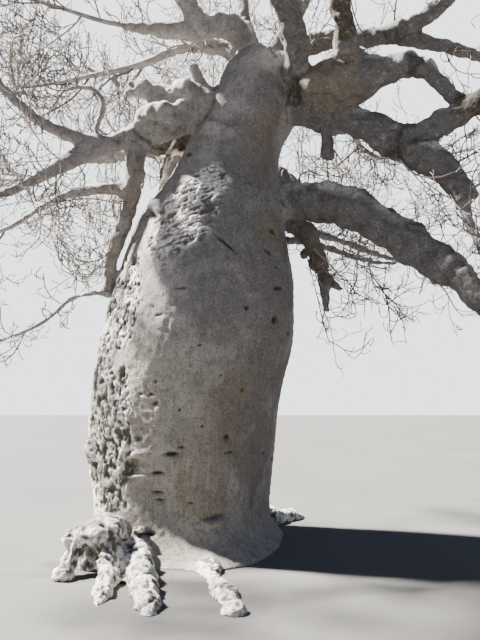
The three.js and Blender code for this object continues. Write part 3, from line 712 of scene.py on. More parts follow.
# Pits that are strewn over the rest of the trunk, and the ranges that they are drawn from. A pit is its
# size times its stretch wide, and its size times flat tall
PITS = 60
PIT_SEED = 501
PIT_SIZE = (0.018, 0.050)
PIT_DEPTH = (0.012, 0.032)
PIT_HEADINGS = (318, 610)
PIT_HEIGHTS = (0.5, 4.8)
PIT_STRETCH = (1, 2)
PIT_TILTS = (-20, 20)
PIT_FLAT = 0.6
# How much wider than a mark the finer bark round it reaches
MARK_ROOM = 2.2
# From rim to middle a mark goes from 0 to 1. This is where its painted dark, mostly painted shade, starts,
# and where it is full
MARK_EDGE = (0.30, 0.75)


@dataclass(frozen=True)
class Zone:
    """A stretch of the trunk: its middle, and its half width in degrees and half height."""
    heading: float
    height: float
    wide: float
    tall: float


WORMY = (Zone(216, 1.30, 32, 1.05), Zone(213, 2.55, 26, 0.90), Zone(60, 1.1, 36, 0.9))
RIPPLED = (Zone(247, 3.55, 26, 0.62), Zone(262, 4.00, 18, 0.35), Zone(120, 3.2, 30, 0.6))
BROWN = (
    Zone(287, 0.95, 17, 0.62), Zone(300, 1.40, 16, 0.50), Zone(312, 4.60, 30, 0.55),
    Zone(318, 3.50, 16, 0.30), Zone(150, 1.50, 40, 0.80),
)
MILDEW = (Zone(300, 3.30, 34, 0.75), Zone(325, 2.50, 22, 0.90), Zone(268, 3.72, 8, 0.16))
# Zones of the trunk that are painted with shade: the darker grey of its side away from the sun
PAINTED_SHADE_ZONES = (
    Zone(276, 3.60, 24, 0.80), Zone(285, 2.60, 26, 0.50), Zone(295, 4.70, 36, 0.80),
    Zone(320, 1.60, 30, 1.20), Zone(314, 3.10, 26, 0.90),
)
# How ragged a zone's edge is, and where its fading starts and ends as shares of its width
ZONE_RAGGED = 0.35
ZONE_EDGE = (0.7, 1.1)

# Stretches of bough that are dark with moss, or brown: bough, share of its length, reach. Those on
# left_back_drop and left_drop are partly painted shade
MOSS_AND_SHADE_SPOTS = (
    ("top_near", 0.33, 0.30), ("top_lean", 0.64, 0.28), ("right_mid", 0.66, 0.20),
    ("right_high", 0.30, 0.30), ("right_high", 0.62, 0.28), ("right_mid_up", 0.45, 0.24),
    ("right_low", 0.42, 0.20), ("left_back_drop", 0.32, 0.34), ("left_back_drop", 0.60, 0.40),
)
TAN_AND_SHADE_SPOTS = (
    ("right_high", 0.55, 0.48), ("right_elbow", 0.40, 0.35), ("right_elbow", 0.70, 0.35),
    ("left_shoulder", 0.25, 0.45), ("left_back_drop", 0.60, 0.55), ("left_drop", 0.40, 0.45),
    ("left_drop", 0.80, 0.40),
)
# Where the fading of such a stretch starts, over its reach, and how ragged the edge of the moss and its
# painted shade is in metres
SPOT_EDGE = 0.8
MOSS_AND_SHADE_RAGGED = 0.1

# Painted shade: boughs are darker towards +X, their side away from the sun, where they are thick: where
# each of the two starts and where it is full, and how strong the same painted shade is in its zones of the
# trunk
DARKER_SIDE = (0.2, 0.9)
DARKER_THICK = (0.05, 0.09)
TRUNK_PAINTED_SHADE = 0.70
# The height at which the painted bluish sky tint starts, and is full
PAINTED_SKY_TINT_UP = (1.8, 2.8)
# Painted highlight: boughs are paler where they face up, in patches: where each of the two starts and is
# full, and how much
TOP_HIGHLIGHT_FACING = (0.2, 0.7)
TOP_HIGHLIGHT_PATCHES = (-0.2, 0.3)
BOUGH_TOP_HIGHLIGHT = 0.6

# The larger this is, the narrower are the crests of a pattern
CREST_SHARP = 1.6


@dataclass(frozen=True)
class Pattern:
    """Noise that shapes the bark: its depth in metres, the size of its lumps, and its seed. Its crests
    are narrower the sharper they are, and lie lower by sunk."""
    depth: float
    size: float | tuple
    seed: int
    sharp: float = 1
    sunk: float = 0

    def waves(self, points):
        """Smooth lumps and hollows."""
        return self.depth * noise(points, self.size, self.seed)

    def crests(self, points):
        """Narrow crests that wind between wide hollows."""
        crest = np.maximum(0, 1 - np.abs(noise(points, self.size, self.seed)) * CREST_SHARP)
        return self.depth * (crest ** self.sharp - self.sunk)


# Broad relief. The depth of a bough's swell and lumps is a share of its thickness
TRUNK_SWELL = Pattern(0.026, (0.6, 0.6, 0.9), 42)
TRUNK_LUMPS = Pattern(0.010, (0.2, 0.2, 0.4), 53)
BOUGH_SWELL = Pattern(0.22, 0.27, 43)
BOUGH_LUMPS = Pattern(0.14, 0.12, 44)
BOUGH_KNOBS = Pattern(0.012, 0.07, 55)
JOINT_SWELL = 0.018
WORMY_SWELL = 0.022
# Fine relief. How deep crumbs and holes are depends on where they are
COARSE_GRAIN = Pattern(0.005, 0.05, 47)
FINE_GRAIN = Pattern(0.005, 0.03, 48)
WORMS = Pattern(0.018, (0.034, 0.034, 0.075), 45, sunk=0.5)
RIPPLES = Pattern(0.030, (0.10, 0.10, 0.033), 49, sharp=1.5, sunk=0.3)
CRUMBS = Pattern(1, (0.024, 0.024, 0.032), 52)
HOLES = Pattern(1, (0.055, 0.055, 0.075), 46)
HOLE_START = 0.15
ROOT_LUMPS = Pattern(0.016, 0.07, 59)
NECK_FOLDS = Pattern(0.004, (0.30, 0.30, 0.060), 51, sharp=3)
WRINKLES = Pattern(0.010, 0.11, 54, sharp=4)
WORMY_CRUMBS = 0.011
WORMY_HOLES = 0.050
RIPPLED_CRUMBS = 0.009
ROOT_CRUMBS = 0.010
ROOT_HOLES = 0.024
# The height at which the folds round the neck start and are full
NECK_FROM = (4.1, 4.6)
# Creases in the joints, which come and go with noise from its first value to its second
CREASES = Pattern(1, 0.25, 62)
CREASE_FROM = (-0.2, 0.4)
CREASE_DEPTH = 0.014
CREASE_SHARP = 8
# What worms and ripples wind by: how far, the size of the winds, and their seeds. The ripples also climb
# this much towards +X, and are this deep where they are shallower
WORM_WINDS = (0.03, 0.09, (56, 57, 58))
RIPPLE_WINDS = (0.012, 0.07, (63, 64, 65))
RIPPLE_CLIMB = 0.35
RIPPLE_EVEN = 0.8
# Noise of the zones' ragged edges, for the relief and for the colours
RAGGED = Pattern(1, 0.22, 41)
RAGGED_COLOURS = Pattern(1, 0.15, 61)
# Painted shade in cracks and pits: how deep bark lies where it would be painted black, for whole bark and
# crumbled bark. Whole bark starts to darken a little deeper down, none is darker than this, and ripples
# stay paler
HOLLOW_SHADE_DEPTH = (0.022, 0.007)
HOLLOW_SHADE_START = 0.1
DARKEST_HOLLOW_SHADE = 0.8
RIPPLE_PALER = 0.4
# The height in the relief at which crumbled bark starts to be crusted, and is fully so. This pale crust on
# the crests is partly real and partly painted highlight
CRUST_AND_HIGHLIGHT_HEIGHT = (-0.008, 0.005)
# Over this width the trunk's bark gives way to a limb's, and the trunk counts as no thicker than this
TRUNK_SKIRT = 0.12
TRUNK_THICK = 0.6
# The height at which the roots' bark starts to give way to the trunk's, and has done so
ROOT_TOP = (0.35, 0.60)
# Finer bark lies up to the first of these off the trunk and, at the foot, from the second on. It goes out
# to where a mark is this faint
OFF_TRUNK = 0.15
OFF_FOOT = 0.02
MARK_FAINT = 0.3
# How many points are compared with all limbs at a time
ROWS_AT_ONCE = 8000


def zones_weight(zones, heading, height, ragged):
    """How far each point lies in any of the zones, from 0 to 1, with a ragged edge."""
    weight = np.zeros(len(height))
    for zone in zones:
        away = np.hypot(turned(heading, zone.heading) / zone.wide, (height - zone.height) / zone.tall)
        weight = np.maximum(weight, 1 - ramp(away + ZONE_RAGGED * ragged, *ZONE_EDGE))
    return weight


def spots_weight(spots, lines, points):
    """How far each point lies in any of the spots along the boughs, from 0 to 1."""
    weight = np.zeros(len(points))
    for bough, share, reach in spots:
        away = np.linalg.norm(points - point_at(lines[bough], share), axis=1)
        weight = np.maximum(weight, 1 - ramp(away, SPOT_EDGE * reach, reach))
    return weight


def trunk_shell():
    heights = np.concatenate([[-BELOW], np.linspace(0, TRUNK_TOP, TRUNK_RINGS)])
    headings = np.arange(TRUNK_SIDES) * 360 / TRUNK_SIDES
    height, heading = np.meshgrid(heights, headings, indexing="ij")
    radius = trunk_radius(height, heading)
    lean = station(np.clip(height, 0, TRUNK_TOP), LEAN)
    angle = np.radians(heading)
    points = np.stack([lean + radius * np.cos(angle), radius * np.sin(angle), height], axis=-1)
    end = (float(station(TRUNK_TOP, LEAN)), 0, TRUNK_TOP)
    return np.vstack([points.reshape(-1, 3), end]), tube_faces(len(heights), TRUNK_SIDES)


def root_shell(root):
    line = centre_line(root, np.array([root.x, root.y, 0.0]), ROOT_STEPS)
    share = np.linspace(0, 1, ROOT_STEPS + 1)
    line[:, 2] = between((root.high, root.low), share)
    start, least = ROOT_END
    past = np.maximum(0, (share - start) / (1 - start))
    knob = 1 + root.knob * np.sin(2 * np.pi * root.knobs * share)
    radius = between((root.base, root.tip), share) * knob * np.sqrt(1 - past ** 2)
    return tubes(line[None], np.maximum(least, radius)[None], ROOT_SIDES, pointed=False)


def bough_shell(bough, line):
    radius = bough_radius(bough, np.linspace(0, 1, LINE_STEPS + 1))
    return tubes(line[None], radius[None], BOUGH_SIDES, pointed=False)


def knob_shell(middle, radius):
    climb = -np.cos(np.linspace(LUMP_START, np.pi, LUMP_RINGS))
    spine = middle + np.outer(climb * radius, (0, 0, 1))
    return tubes(spine[None], (radius * np.sqrt(1 - climb ** 2))[None], LUMP_SIDES)


def lump_shell(line, share, heading, rise, out, radius):
    return knob_shell(point_at(line, share) + direction(heading, rise) * out, radius)


def stub_shell(line, share, heading, rise, length, base, tip):
    start = point_at(line, share)
    spine = start + np.outer(np.linspace(0, length, STUB_STEPS + 1), direction(heading, rise))
    return tubes(spine[None], np.linspace(base, tip, STUB_STEPS + 1)[None], LUMP_SIDES, pointed=False)


def modified(mesh, kind, **settings):
    """The mesh that one modifier makes of this one."""
    rough = bpy.data.objects.new("rough", mesh)
    bpy.context.scene.collection.objects.link(rough)
    modifier = rough.modifiers.new("modifier", kind)
    for name, value in settings.items():
        setattr(modifier, name, value)
    result = bpy.data.meshes.new_from_object(rough.evaluated_get(bpy.context.evaluated_depsgraph_get()))
    bpy.data.objects.remove(rough)
    return result


def rough_bark(lines):
    """The solids of the trunk, roots and boughs with their knobs, lumps and stubs, run together into one
    skin of small squares."""
    heap = Heap()
    heap.add(*trunk_shell())
    for root in ROOTS:
        heap.add(*root_shell(root))
    for bough in BOUGHS:
        heap.add(*bough_shell(bough, lines[bough.name]))
    for x, y, z, radius in KNOBS:
        heap.add(*knob_shell(np.array([x, y, z]), radius))
    for bough, *lump in LUMPS:
        heap.add(*lump_shell(lines[bough], *lump))
    for bough, *stub in STUBS:
        heap.add(*stub_shell(lines[bough], *stub))
    return modified(heap.mesh("rough"), "REMESH", mode="VOXEL", voxel_size=VOXEL)


def thinned(mesh):
    """Fewer triangles where the bark is smooth."""
    triangles = len(mesh.loops) - 2 * len(mesh.polygons)
    return modified(mesh, "DECIMATE", ratio=BARK_TRIANGLES / triangles)


def on_trunk_at(points):
    """Each point's heading round the trunk, and how far it lies outside the trunk."""
    lean = station(np.clip(points[:, 2], 0, TRUNK_TOP), LEAN)
    heading = np.degrees(np.arctan2(points[:, 1], points[:, 0] - lean)) % 360
    out = np.hypot(points[:, 0] - lean, points[:, 1]) - trunk_radius(points[:, 2], heading)
    return heading, out + np.maximum(0, points[:, 2] - TRUNK_TOP)


def refine(mesh):
    """Splits the squares of the skin into four where the bark is crumbled or marked."""
    points = read(mesh.vertices, "co", 3)
    heading, out = on_trunk_at(points)
    height = points[:, 2]
    wanted = (zones_weight((*WORMY, *RIPPLED), heading, height, 0) > 0) & (out < OFF_TRUNK)
    wanted |= (height < max(ROOT_TOP)) & (out > OFF_FOOT)
    for mark in all_marks():
        room = replace(mark, wide=mark.wide * MARK_ROOM, tall=mark.tall * MARK_ROOM)
        wanted |= (mark_shape(room, heading, height) > MARK_FAINT) & (out < OFF_TRUNK)
    work = bmesh.new()
    work.from_mesh(mesh)
    edges = [edge for edge in work.edges if wanted[edge.verts[0].index] and wanted[edge.verts[1].index]]
    bmesh.ops.subdivide_edges(work, edges=edges, cuts=1, use_grid_fill=True)
    work.to_mesh(mesh)
    work.free()


def read(items, name, width, kind=np.float64):
    """One property of a mesh's points or edges, as rows of this width."""
    values = np.empty(len(items) * width, np.float32 if kind is np.float64 else np.int32)
    items.foreach_get(name, values)
    return values.reshape(-1, width).astype(kind)


def eased(points, edges, weight, rounds):
    """Moves each point towards the middle of its neighbours, by its weight, for some rounds."""
    first, second = edges.T
    count = np.bincount(edges.ravel(), minlength=len(points))[:, None]
    for _ in range(rounds):
        total = np.stack([
            np.bincount(first, points[second, axis], len(points))
            + np.bincount(second, points[first, axis], len(points))
            for axis in range(3)
        ], axis=1)
        points = points + weight[:, None] * (total / count - points)
    return points


@dataclass
class Places:
    """Where each point of the bark lies on the tree: its heading and height on the trunk, how thick the
    limb is, and how far it lies at a joint, on the trunk and on a root, from 0 to 1."""
    heading: np.ndarray
    height: np.ndarray
    thick: np.ndarray
    joint: np.ndarray
    trunk: np.ndarray
    root: np.ndarray


def read_places(points, lines):
    heading, out_of_trunk = on_trunk_at(points)
    radius = trunk_radius(points[:, 2], heading)
    spine = np.vstack([lines[bough.name] for bough in BOUGHS])
    share = np.linspace(0, 1, LINE_STEPS + 1)
    radii = np.concatenate([bough_radius(bough, share) for bough in BOUGHS])
    starts = np.arange(0, len(spine), LINE_STEPS + 1)
    nearest = np.empty((len(points), 2))
    thick = np.empty(len(points))
    for rows in np.array_split(np.arange(len(points)), len(points) // ROWS_AT_ONCE + 1):
        part = points[rows]
        apart = (part ** 2).sum(axis=1)[:, None] + (spine ** 2).sum(axis=1) - 2 * part @ spine.T
        apart = np.sqrt(np.maximum(apart, 0)) - radii
        by_limb = np.column_stack([np.minimum.reduceat(apart, starts, axis=1), out_of_trunk[rows]])
        nearest[rows] = np.partition(by_limb, 1, axis=1)[:, :2]
        thick[rows] = radii[apart.argmin(axis=1)]
    on_trunk = 1 - ramp(out_of_trunk - nearest[:, 0], 0, TRUNK_SKIRT)
    return Places(
        heading=heading,
        height=points[:, 2],
        thick=thick * (1 - on_trunk) + np.minimum(radius, TRUNK_THICK) * on_trunk,
        joint=1 - ramp(nearest[:, 1] - nearest[:, 0], 0, JOINT_WIDTH),
        trunk=on_trunk,
        root=(1 - ramp(points[:, 2], *ROOT_TOP)) * ramp(out_of_trunk, 0, TRUNK_SKIRT),
    )


def mark_shape(mark, heading, height):
    """1 in the middle of a mark, falling away to 0 round it."""
    radius = trunk_radius(np.array([mark.height]), mark.heading)[0]
    around = np.radians(turned(heading, mark.heading)) * radius
    up = height - mark.height
    tilt = math.radians(mark.tilt)
    along = around * math.cos(tilt) + up * math.sin(tilt)
    across = up * math.cos(tilt) - around * math.sin(tilt)
    return np.exp(-((along / mark.wide) ** 2) - (across / mark.tall) ** 2)


def all_marks():
    """The marks that have a place of their own, and the pits strewn over the rest of the trunk."""
    draw = seeded(PIT_SEED)
    marks = list(MARKS)
    for _ in range(PITS):
        size = between(PIT_SIZE, draw() ** 2)
        depth = between(PIT_DEPTH, draw())
        heading = between(PIT_HEADINGS, draw())
        height = between(PIT_HEIGHTS, draw())
        wide = size * between(PIT_STRETCH, draw())
        marks.append(Mark(heading, height, wide, size * PIT_FLAT, between(PIT_TILTS, draw()), depth))
    return marks


def wound(points, amount, size, seeds):
    """The points moved by noise, so that a pattern read at them winds."""
    return points + amount * np.column_stack([noise(points, size, seed) for seed in seeds])


def broad_relief(points, places, wormy, ragged):
    """Swells and lumps of the trunk, the boughs and their joints."""
    limb = 1 - places.trunk
    swell = places.trunk * (TRUNK_SWELL.waves(points) + TRUNK_LUMPS.waves(points))
    swell += places.thick * limb * (BOUGH_SWELL.waves(points) + BOUGH_LUMPS.waves(points))
    swell += limb * (BOUGH_KNOBS.waves(points) + JOINT_SWELL * places.joint)
    return swell + WORMY_SWELL * wormy * ragged


def fine_relief(points, places, wormy, rippled, ragged):
    """Grain all over, worms, ripples, crumbs and holes where the bark has crumbled, folds round the
    neck, wrinkles on the boughs and creases in the joints."""
    winding = wound(points, *WORM_WINDS)
    leaning = wound(points, *RIPPLE_WINDS)
    leaning[:, 2] -= RIPPLE_CLIMB * points[:, 0]
    crumbs = CRUMBS.waves(points)
    holes = np.maximum(0, HOLES.waves(winding) - HOLE_START)
    ripples = RIPPLES.crests(leaning) * between((RIPPLE_EVEN, 1), ragged)
    neck = ramp(places.height, *NECK_FROM) * places.trunk
    crease = places.joint ** CREASE_SHARP * ramp(CREASES.waves(points), *CREASE_FROM)

    fine = COARSE_GRAIN.waves(points) + FINE_GRAIN.waves(points)
    fine += wormy * (WORMS.crests(winding) + WORMY_CRUMBS * crumbs - WORMY_HOLES * holes)
    fine += rippled * (ripples + RIPPLED_CRUMBS * crumbs)
    lumps = np.maximum(0, ROOT_LUMPS.waves(points))
    fine += places.root * (ROOT_CRUMBS * crumbs + lumps - ROOT_HOLES * holes)
    fine -= NECK_FOLDS.crests(points) * neck + WRINKLES.crests(points) * (1 - places.trunk)
    return fine - CREASE_DEPTH * crease


def relief(points, places):
    """How far the bark stands out at each point, its painted shade in cracks and pits, and its crust, which
    is partly painted highlight.
    """
    ragged = RAGGED.waves(points)
    at = places.heading, places.height, ragged
    wormy = zones_weight(WORMY, *at) * places.trunk
    rippled = zones_weight(RIPPLED, *at) * places.trunk
    fine = fine_relief(points, places, wormy, rippled, ragged)
    crumbled = np.maximum(np.maximum(wormy, rippled), places.root)
    # Painted shade: the deeper the bark lies, the darker it is painted, and marks are painted dark inside
    depth = -fine / between(HOLLOW_SHADE_DEPTH, crumbled) - HOLLOW_SHADE_START * (1 - crumbled)
    dark = np.clip(depth, 0, DARKEST_HOLLOW_SHADE) * (1 - RIPPLE_PALER * rippled)
    for mark in all_marks():
        shape = mark_shape(mark, places.heading, places.height) * places.trunk
        fine = fine - mark.depth * shape
        dark = np.maximum(dark, mark.dark * ramp(shape, *MARK_EDGE))
    # Pale crust on the crests of crumbled bark, partly painted highlight
    crust = crumbled * ramp(fine, *CRUST_AND_HIGHLIGHT_HEIGHT)
    return broad_relief(points, places, wormy, ragged) + fine, dark, crust


def cut_level(mesh):
    """Cuts a mesh off at the ground and closes it there."""
    work = bmesh.new()
    work.from_mesh(mesh)
    everything = work.verts[:] + work.edges[:] + work.faces[:]
    bmesh.ops.bisect_plane(work, geom=everything, plane_co=(0, 0, 0), plane_no=(0, 0, -1), clear_outer=True)
    rim = [edge for edge in work.edges if edge.is_boundary]
    bmesh.ops.holes_fill(work, edges=rim, sides=0)
    work.to_mesh(mesh)
    work.free()


def paint(mesh, name, values):
    mesh.attributes.new(name, "FLOAT", "POINT").data.foreach_set("value", values.astype(np.float32))


def paint_bark(mesh, points, places, lines, dark, crust):
    """Paints the bark's painted shade in cracks and pits, with its own dark in a few marks, mildew, moss
    and brown, which on the drooping left boughs are partly painted shade, the crust with its painted
    highlights, the painted shade of the side away from the sun, and the painted bluish skylight up the
    tree.
    """
    facing_up = read(mesh.vertex_normals, "vector", 3)[:, 2]
    bough = 1 - places.trunk
    ragged = RAGGED_COLOURS.waves(points)
    at = places.heading, places.height, ragged
    # Tan spots, and on the drooping left boughs partly painted shade
    tan_and_shade = spots_weight(TAN_AND_SHADE_SPOTS, lines, points)
    # Painted highlight on the boughs' tops, in patches, where they are not tan
    top_highlight = BOUGH_TOP_HIGHLIGHT * bough * ramp(facing_up, *TOP_HIGHLIGHT_FACING) * ramp(ragged, *TOP_HIGHLIGHT_PATCHES) * (1 - tan_and_shade)
    # Painted shade on the thick boughs' side away from the sun
    shaded = bough * ramp(points[:, 0], *DARKER_SIDE) * ramp(places.thick, *DARKER_THICK)
    # Painted shade in cracks, pits and dents, and the dark of a few marks
    paint(mesh, "hollow", dark)
    paint(mesh, "mildew", zones_weight(MILDEW, *at) * places.trunk)
    paint(mesh, "moss", spots_weight(MOSS_AND_SHADE_SPOTS, lines, points + MOSS_AND_SHADE_RAGGED * ragged[:, None]))
    paint(mesh, "brown", zones_weight(BROWN, *at) * places.trunk + tan_and_shade)
    paint(mesh, "crust", np.maximum(crust, top_highlight))
    paint(mesh, "slate", shaded + TRUNK_PAINTED_SHADE * zones_weight(PAINTED_SHADE_ZONES, *at) * places.trunk)
    # Painted light: a bluish sky tint that grows with height
    paint(mesh, "cool", ramp(places.height, *PAINTED_SKY_TINT_UP))


def move(mesh, points):
    mesh.vertices.foreach_set("co", points.astype(np.float32).ravel())
    mesh.update()


def bark_mesh(lines):
    """The skin of bark: smoothed, painted, given its relief and cut level with the ground."""
    mesh = rough_bark(lines)
    refine(mesh)
    points = read(mesh.vertices, "co", 3)
    edges = read(mesh.edges, "vertices", 2, np.int64)
    rounds, amount = SETTLE
    points = eased(points, edges, np.full(len(points), amount), rounds)
    places = read_places(points, lines)
    rounds, amount = JOINT_SETTLE
    points = eased(points, edges, amount * places.joint, rounds)
    move(mesh, points)
    height, dark, crust = relief(points, places)
    paint_bark(mesh, points, places, lines, dark, crust)
    out = read(mesh.vertex_normals, "vector", 3)
    move(mesh, points + out * height[:, None])
    cut_level(mesh)
    mesh = thinned(mesh)
    mesh.shade_smooth()
    return mesh


# Twigs: the source's rule, written again, and then carried on to finer ones
@dataclass
class Twig:
    """One twig, its seed, and the line it takes."""
    start: np.ndarray
    heading: float
    rise: float
    turn: float
    lift: float
    sway: float
    length: float
    base: float
    tip: float
    seed: int
    line: np.ndarray = field(init=False)

    def __post_init__(self):
        self.line = centre_line(self, self.start, TWIG_STEPS)

    def radius(self, share):
        return between((self.tip, self.base), 1 - share)


@dataclass
class Limbs:
    """Straight stretches of wood that twigs keep clear of."""
    starts: np.ndarray
    spans: np.ndarray
    radii: np.ndarray

    def only(self, chosen):
        return Limbs(self.starts[chosen], self.spans[chosen], self.radii[chosen])

    def distances(self, points):
        """How far each point lies from the axis of each stretch."""
        away = points[:, None] - self.starts
        share = (away * self.spans).sum(axis=2) / (self.spans ** 2).sum(axis=1)
        return np.linalg.norm(away - np.clip(share, 0, 1)[..., None] * self.spans, axis=2)


@dataclass
class Space:
    """The room a mass's twigs may use: a ball, cut by a plane towards each ball that it meets."""
    tip: np.ndarray
    ahead: np.ndarray
    middle: np.ndarray
    reach: float
    others: np.ndarray = None
    limbs: Limbs = None

    def holds(self, points, radii):
        """Whether a twig with these points and radii keeps inside, and clear of ground and boughs."""
        radii = np.broadcast_to(radii, len(points))
        apart = ((points - self.middle) ** 2).sum(axis=1)
        if (points[:, 2] < GROUND_MARGIN).any() or (np.sqrt(apart) > self.reach - radii).any():
            return False
        middles, reaches = self.others[:, :3], self.others[:, 3]
        to_others = np.linalg.norm(middles - self.middle, axis=1)
        inside = (apart - self.reach ** 2)[:, None]
        gap = ((points[:, None] - middles) ** 2).sum(axis=2) - reaches ** 2 - inside
        if (gap < 2 * to_others * (CELL_MARGIN + radii[:, None])).any():
            return False
        least = self.limbs.radii + radii[:, None] + LIMB_MARGIN
        return bool((self.limbs.distances(points) > least).all())


def wood(lines):
    """Every bough and the trunk, as straight stretches."""
    starts, ends, radii = [], [], []
    for z in np.arange(0, TRUNK_TOP - TRUNK_STEP / 2, TRUNK_STEP):
        starts.append([float(station(z, LEAN)), 0, z])
        ends.append([float(station(min(TRUNK_TOP, z + TRUNK_STEP), LEAN)), 0, z + TRUNK_STEP])
        radii.append(float(station(z, RADIUS)) + TRUNK_MARGIN)
    for bough in BOUGHS:
        line = lines[bough.name][::LIMB_STEP]
        starts.extend(line[:-1])
        ends.extend(line[1:])
        radii.extend(bough_radius(bough, np.arange(0, LINE_STEPS, LIMB_STEP) / LINE_STEPS))
    starts = np.array(starts)
    return Limbs(starts, np.array(ends) - starts, np.array(radii))


def mass_spaces(lines, limbs):
    boughs = {bough.name: bough for bough in BOUGHS}
    spaces = {}
    for mass in MASSES:
        bough, line = boughs[mass.bough], lines[mass.bough]
        towards = direction(bough.heading + bough.turn, bough.rise + bough.lift + mass.lift / 2)
        middle = line[-1] + towards * mass.reach * mass.ahead
        spaces[mass.name] = Space(line[-1], unit(line[-1] - line[-2]), middle, mass.reach)
    for space in spaces.values():
        meets = [
            (*other.middle, other.reach) for other in spaces.values()
            if other is not space and math.dist(other.middle, space.middle) < other.reach + space.reach
        ]
        space.others = np.array(meets).reshape(-1, 4)
        away = limbs.distances(space.middle[None])[0]
        space.limbs = limbs.only(away < space.reach + limbs.radii + LIMB_MARGIN)
    return spaces


def stem_of(mass, space):
    bough = next(bough for bough in BOUGHS if bough.name == mass.bough)
    return Twig(
        start=space.tip - space.ahead * STEM_SUNK,
        heading=bough.heading + bough.turn,
        rise=bough.rise + bough.lift,
        turn=0,
        lift=mass.lift,
        sway=STEM_SWAY,
        length=mass.reach * (mass.ahead + STEM_PAST),
        base=bough.tip * STEM_BASE,
        tip=TWIG_TIP,
        seed=mass.seed,
    )


def side_twig(parent, index, children, attempt, rule, tip=TWIG_TIP, offset=0):
    """A twig that leaves its parent on one side, droops or rises, and curls back up towards its tip."""
    draw = seeded(child_seed(parent.seed, (offset + index) * TWIG_DRAWS + attempt))
    first, span = rule.place
    share = first + span * (index + draw()) / children
    ahead = point_at(parent.line, min(1, share + TWIG_LOOK)) - point_at(parent.line, share - TWIG_LOOK)
    heading = math.degrees(math.atan2(ahead[1], ahead[0]))
    rise = math.degrees(math.atan2(ahead[2], math.hypot(ahead[0], ahead[1])))
    side = -1 if (index + attempt) % 2 == 0 else 1
    kept, lowest, highest = TWIG_RISE
    return Twig(
        start=point_at(parent.line, share),
        heading=heading + side * between(rule.away, draw()),
        rise=min(highest, max(lowest, rise * kept + between(rule.tilt, draw()))),
        turn=-side * between(rule.curl, draw()),
        lift=between(rule.lift, draw()),
        sway=between(rule.sway, draw()),
        length=parent.length * between(rule.shrink, draw()) * (1 - TWIG_SHORTER * share),
        base=max(tip, parent.radius(share) * between(rule.thin, draw())),
        tip=tip,
        seed=child_seed(parent.seed, offset + index),
    )


def grow_coarse(mass, space):
    """The same twigs as the source's mass."""
    twigs = [(stem_of(mass, space), 0)]
    shares = np.arange(COARSE_TEST, TWIG_STEPS + 1, COARSE_TEST) / TWIG_STEPS
    for parent, order in twigs:
        children = COARSE_CHILDREN[order]
        for index in range(children):
            for attempt in range(TWIG_TRIES):
                twig = side_twig(parent, index, children, attempt, COARSE)
                if space.holds(twig.line[COARSE_TEST::COARSE_TEST], twig.radius(shares)):
                    twigs.append((twig, order + 1))
                    break
    return [twig for twig, _ in twigs]


def in_room(points):
    """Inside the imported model's box, or no more than a little outside it."""
    low, high = np.array(cad_box)
    room = (high - low) * BOX_ROOM
    return bool(((points > low - room) & (points < high + room)).all())


def bare_views(lines):
    """The directions from the camera to the bare limbs, how wide each stands there, and how far off."""
    boughs = [bough for bough in BOUGHS if bough.name in BARE]
    spots = np.vstack([lines[bough.name][::LIMB_STEP] for bough in boughs])
    share = np.linspace(0, 1, LINE_STEPS // LIMB_STEP + 1)
    wide = np.concatenate([bough_radius(bough, share) for bough in boughs])
    away = np.linalg.norm(spots - EYE, axis=1)
    return (spots - EYE) / away[:, None], np.cos(wide / away), away


def hides(views, points):
    """Whether any of these points stands in front of a bare limb."""
    ways, cosines, far = views
    away = np.linalg.norm(points - EYE, axis=1)[:, None]
    return bool((((points - EYE) @ ways.T > away * cosines) & (away < far)).any())


def shades(points):
    """Whether any of these points stands between the sun and a sunlit place."""
    sunward = direction(SUN_HEADING, SUN_RISE)
    away = points[:, None] - SUNLIT[:, :3]
    along = away @ sunward
    aside = np.linalg.norm(away - along[..., None] * sunward, axis=2)
    return bool(((along > 0) & (aside < SUNLIT[:, 3])).any())


def grow_on(parents, spacing, rule, longest, tip, holds):
    """A generation of twigs: one for each spacing of their parents' length, where holds lets them be."""
    young = []
    for parent in parents:
        children = max(1, round(parent.length / spacing))
        for index in range(children):
            for attempt in range(TWIG_TRIES):
                twig = side_twig(parent, index, children, attempt, rule, tip, FINE_DRAWS)
                twig.line = twig.start + (twig.line - twig.start) * min(1, longest / twig.length)
                twig.length = min(longest, twig.length)
                tested = twig.line[FINE_TEST::FINE_TEST]
                sunny = twig.seed % SHADE_OF < SHADE_KEPT or not shades(tested)
                if sunny and in_room(twig.line) and holds(tested, tip):
                    young.append(twig)
                    break
    return [twig for twig in young if twig.length > FINE_LEAST]


def grow_fine(parents, sparser, holds):
    """Three generations of finer twigs on these, each as a list."""
    generations = []
    for (spacing, rule), longest, tip in zip(FINE, FINE_MOST, FINE_TIP):
        parents = grow_on(parents, spacing * sparser ** 0.5, rule, longest, tip, holds)
        generations.append(parents)
    return generations


def side_of(bough_name):
    """The side of the tree that a bough is named for: left, right, top or back."""
    return bough_name.split("_")[0]


def as_twig(bough, line):
    """A bough as the parent of shoots."""
    limb = Twig(
        line[0], bough.heading, bough.rise, bough.turn, bough.lift, bough.sway, bough.length,
        bough.base, bough.tip, BOUGHS.index(bough) + SHOOT_SEED,
    )
    limb.line = line
    return limb


def grow_shoots(bough, line, limbs, views):
    """Shoots along a bough, and the generations on them."""

    def clear(points, radius):
        off_limbs = (limbs.distances(points) > limbs.radii + radius).all()
        above = (points[:, 2] > GROUND_MARGIN).all()
        return bool(off_limbs and above) and not hides(views, points)

    sparser = SPARSER[side_of(bough.name)]
    spacing = SHOOT_SPACING * sparser
    shoots = grow_on([as_twig(bough, line)], spacing, SHOOT, SHOOT_MOST, SHOOT_TIP, clear)
    return shoots, grow_fine(shoots, sparser, clear)


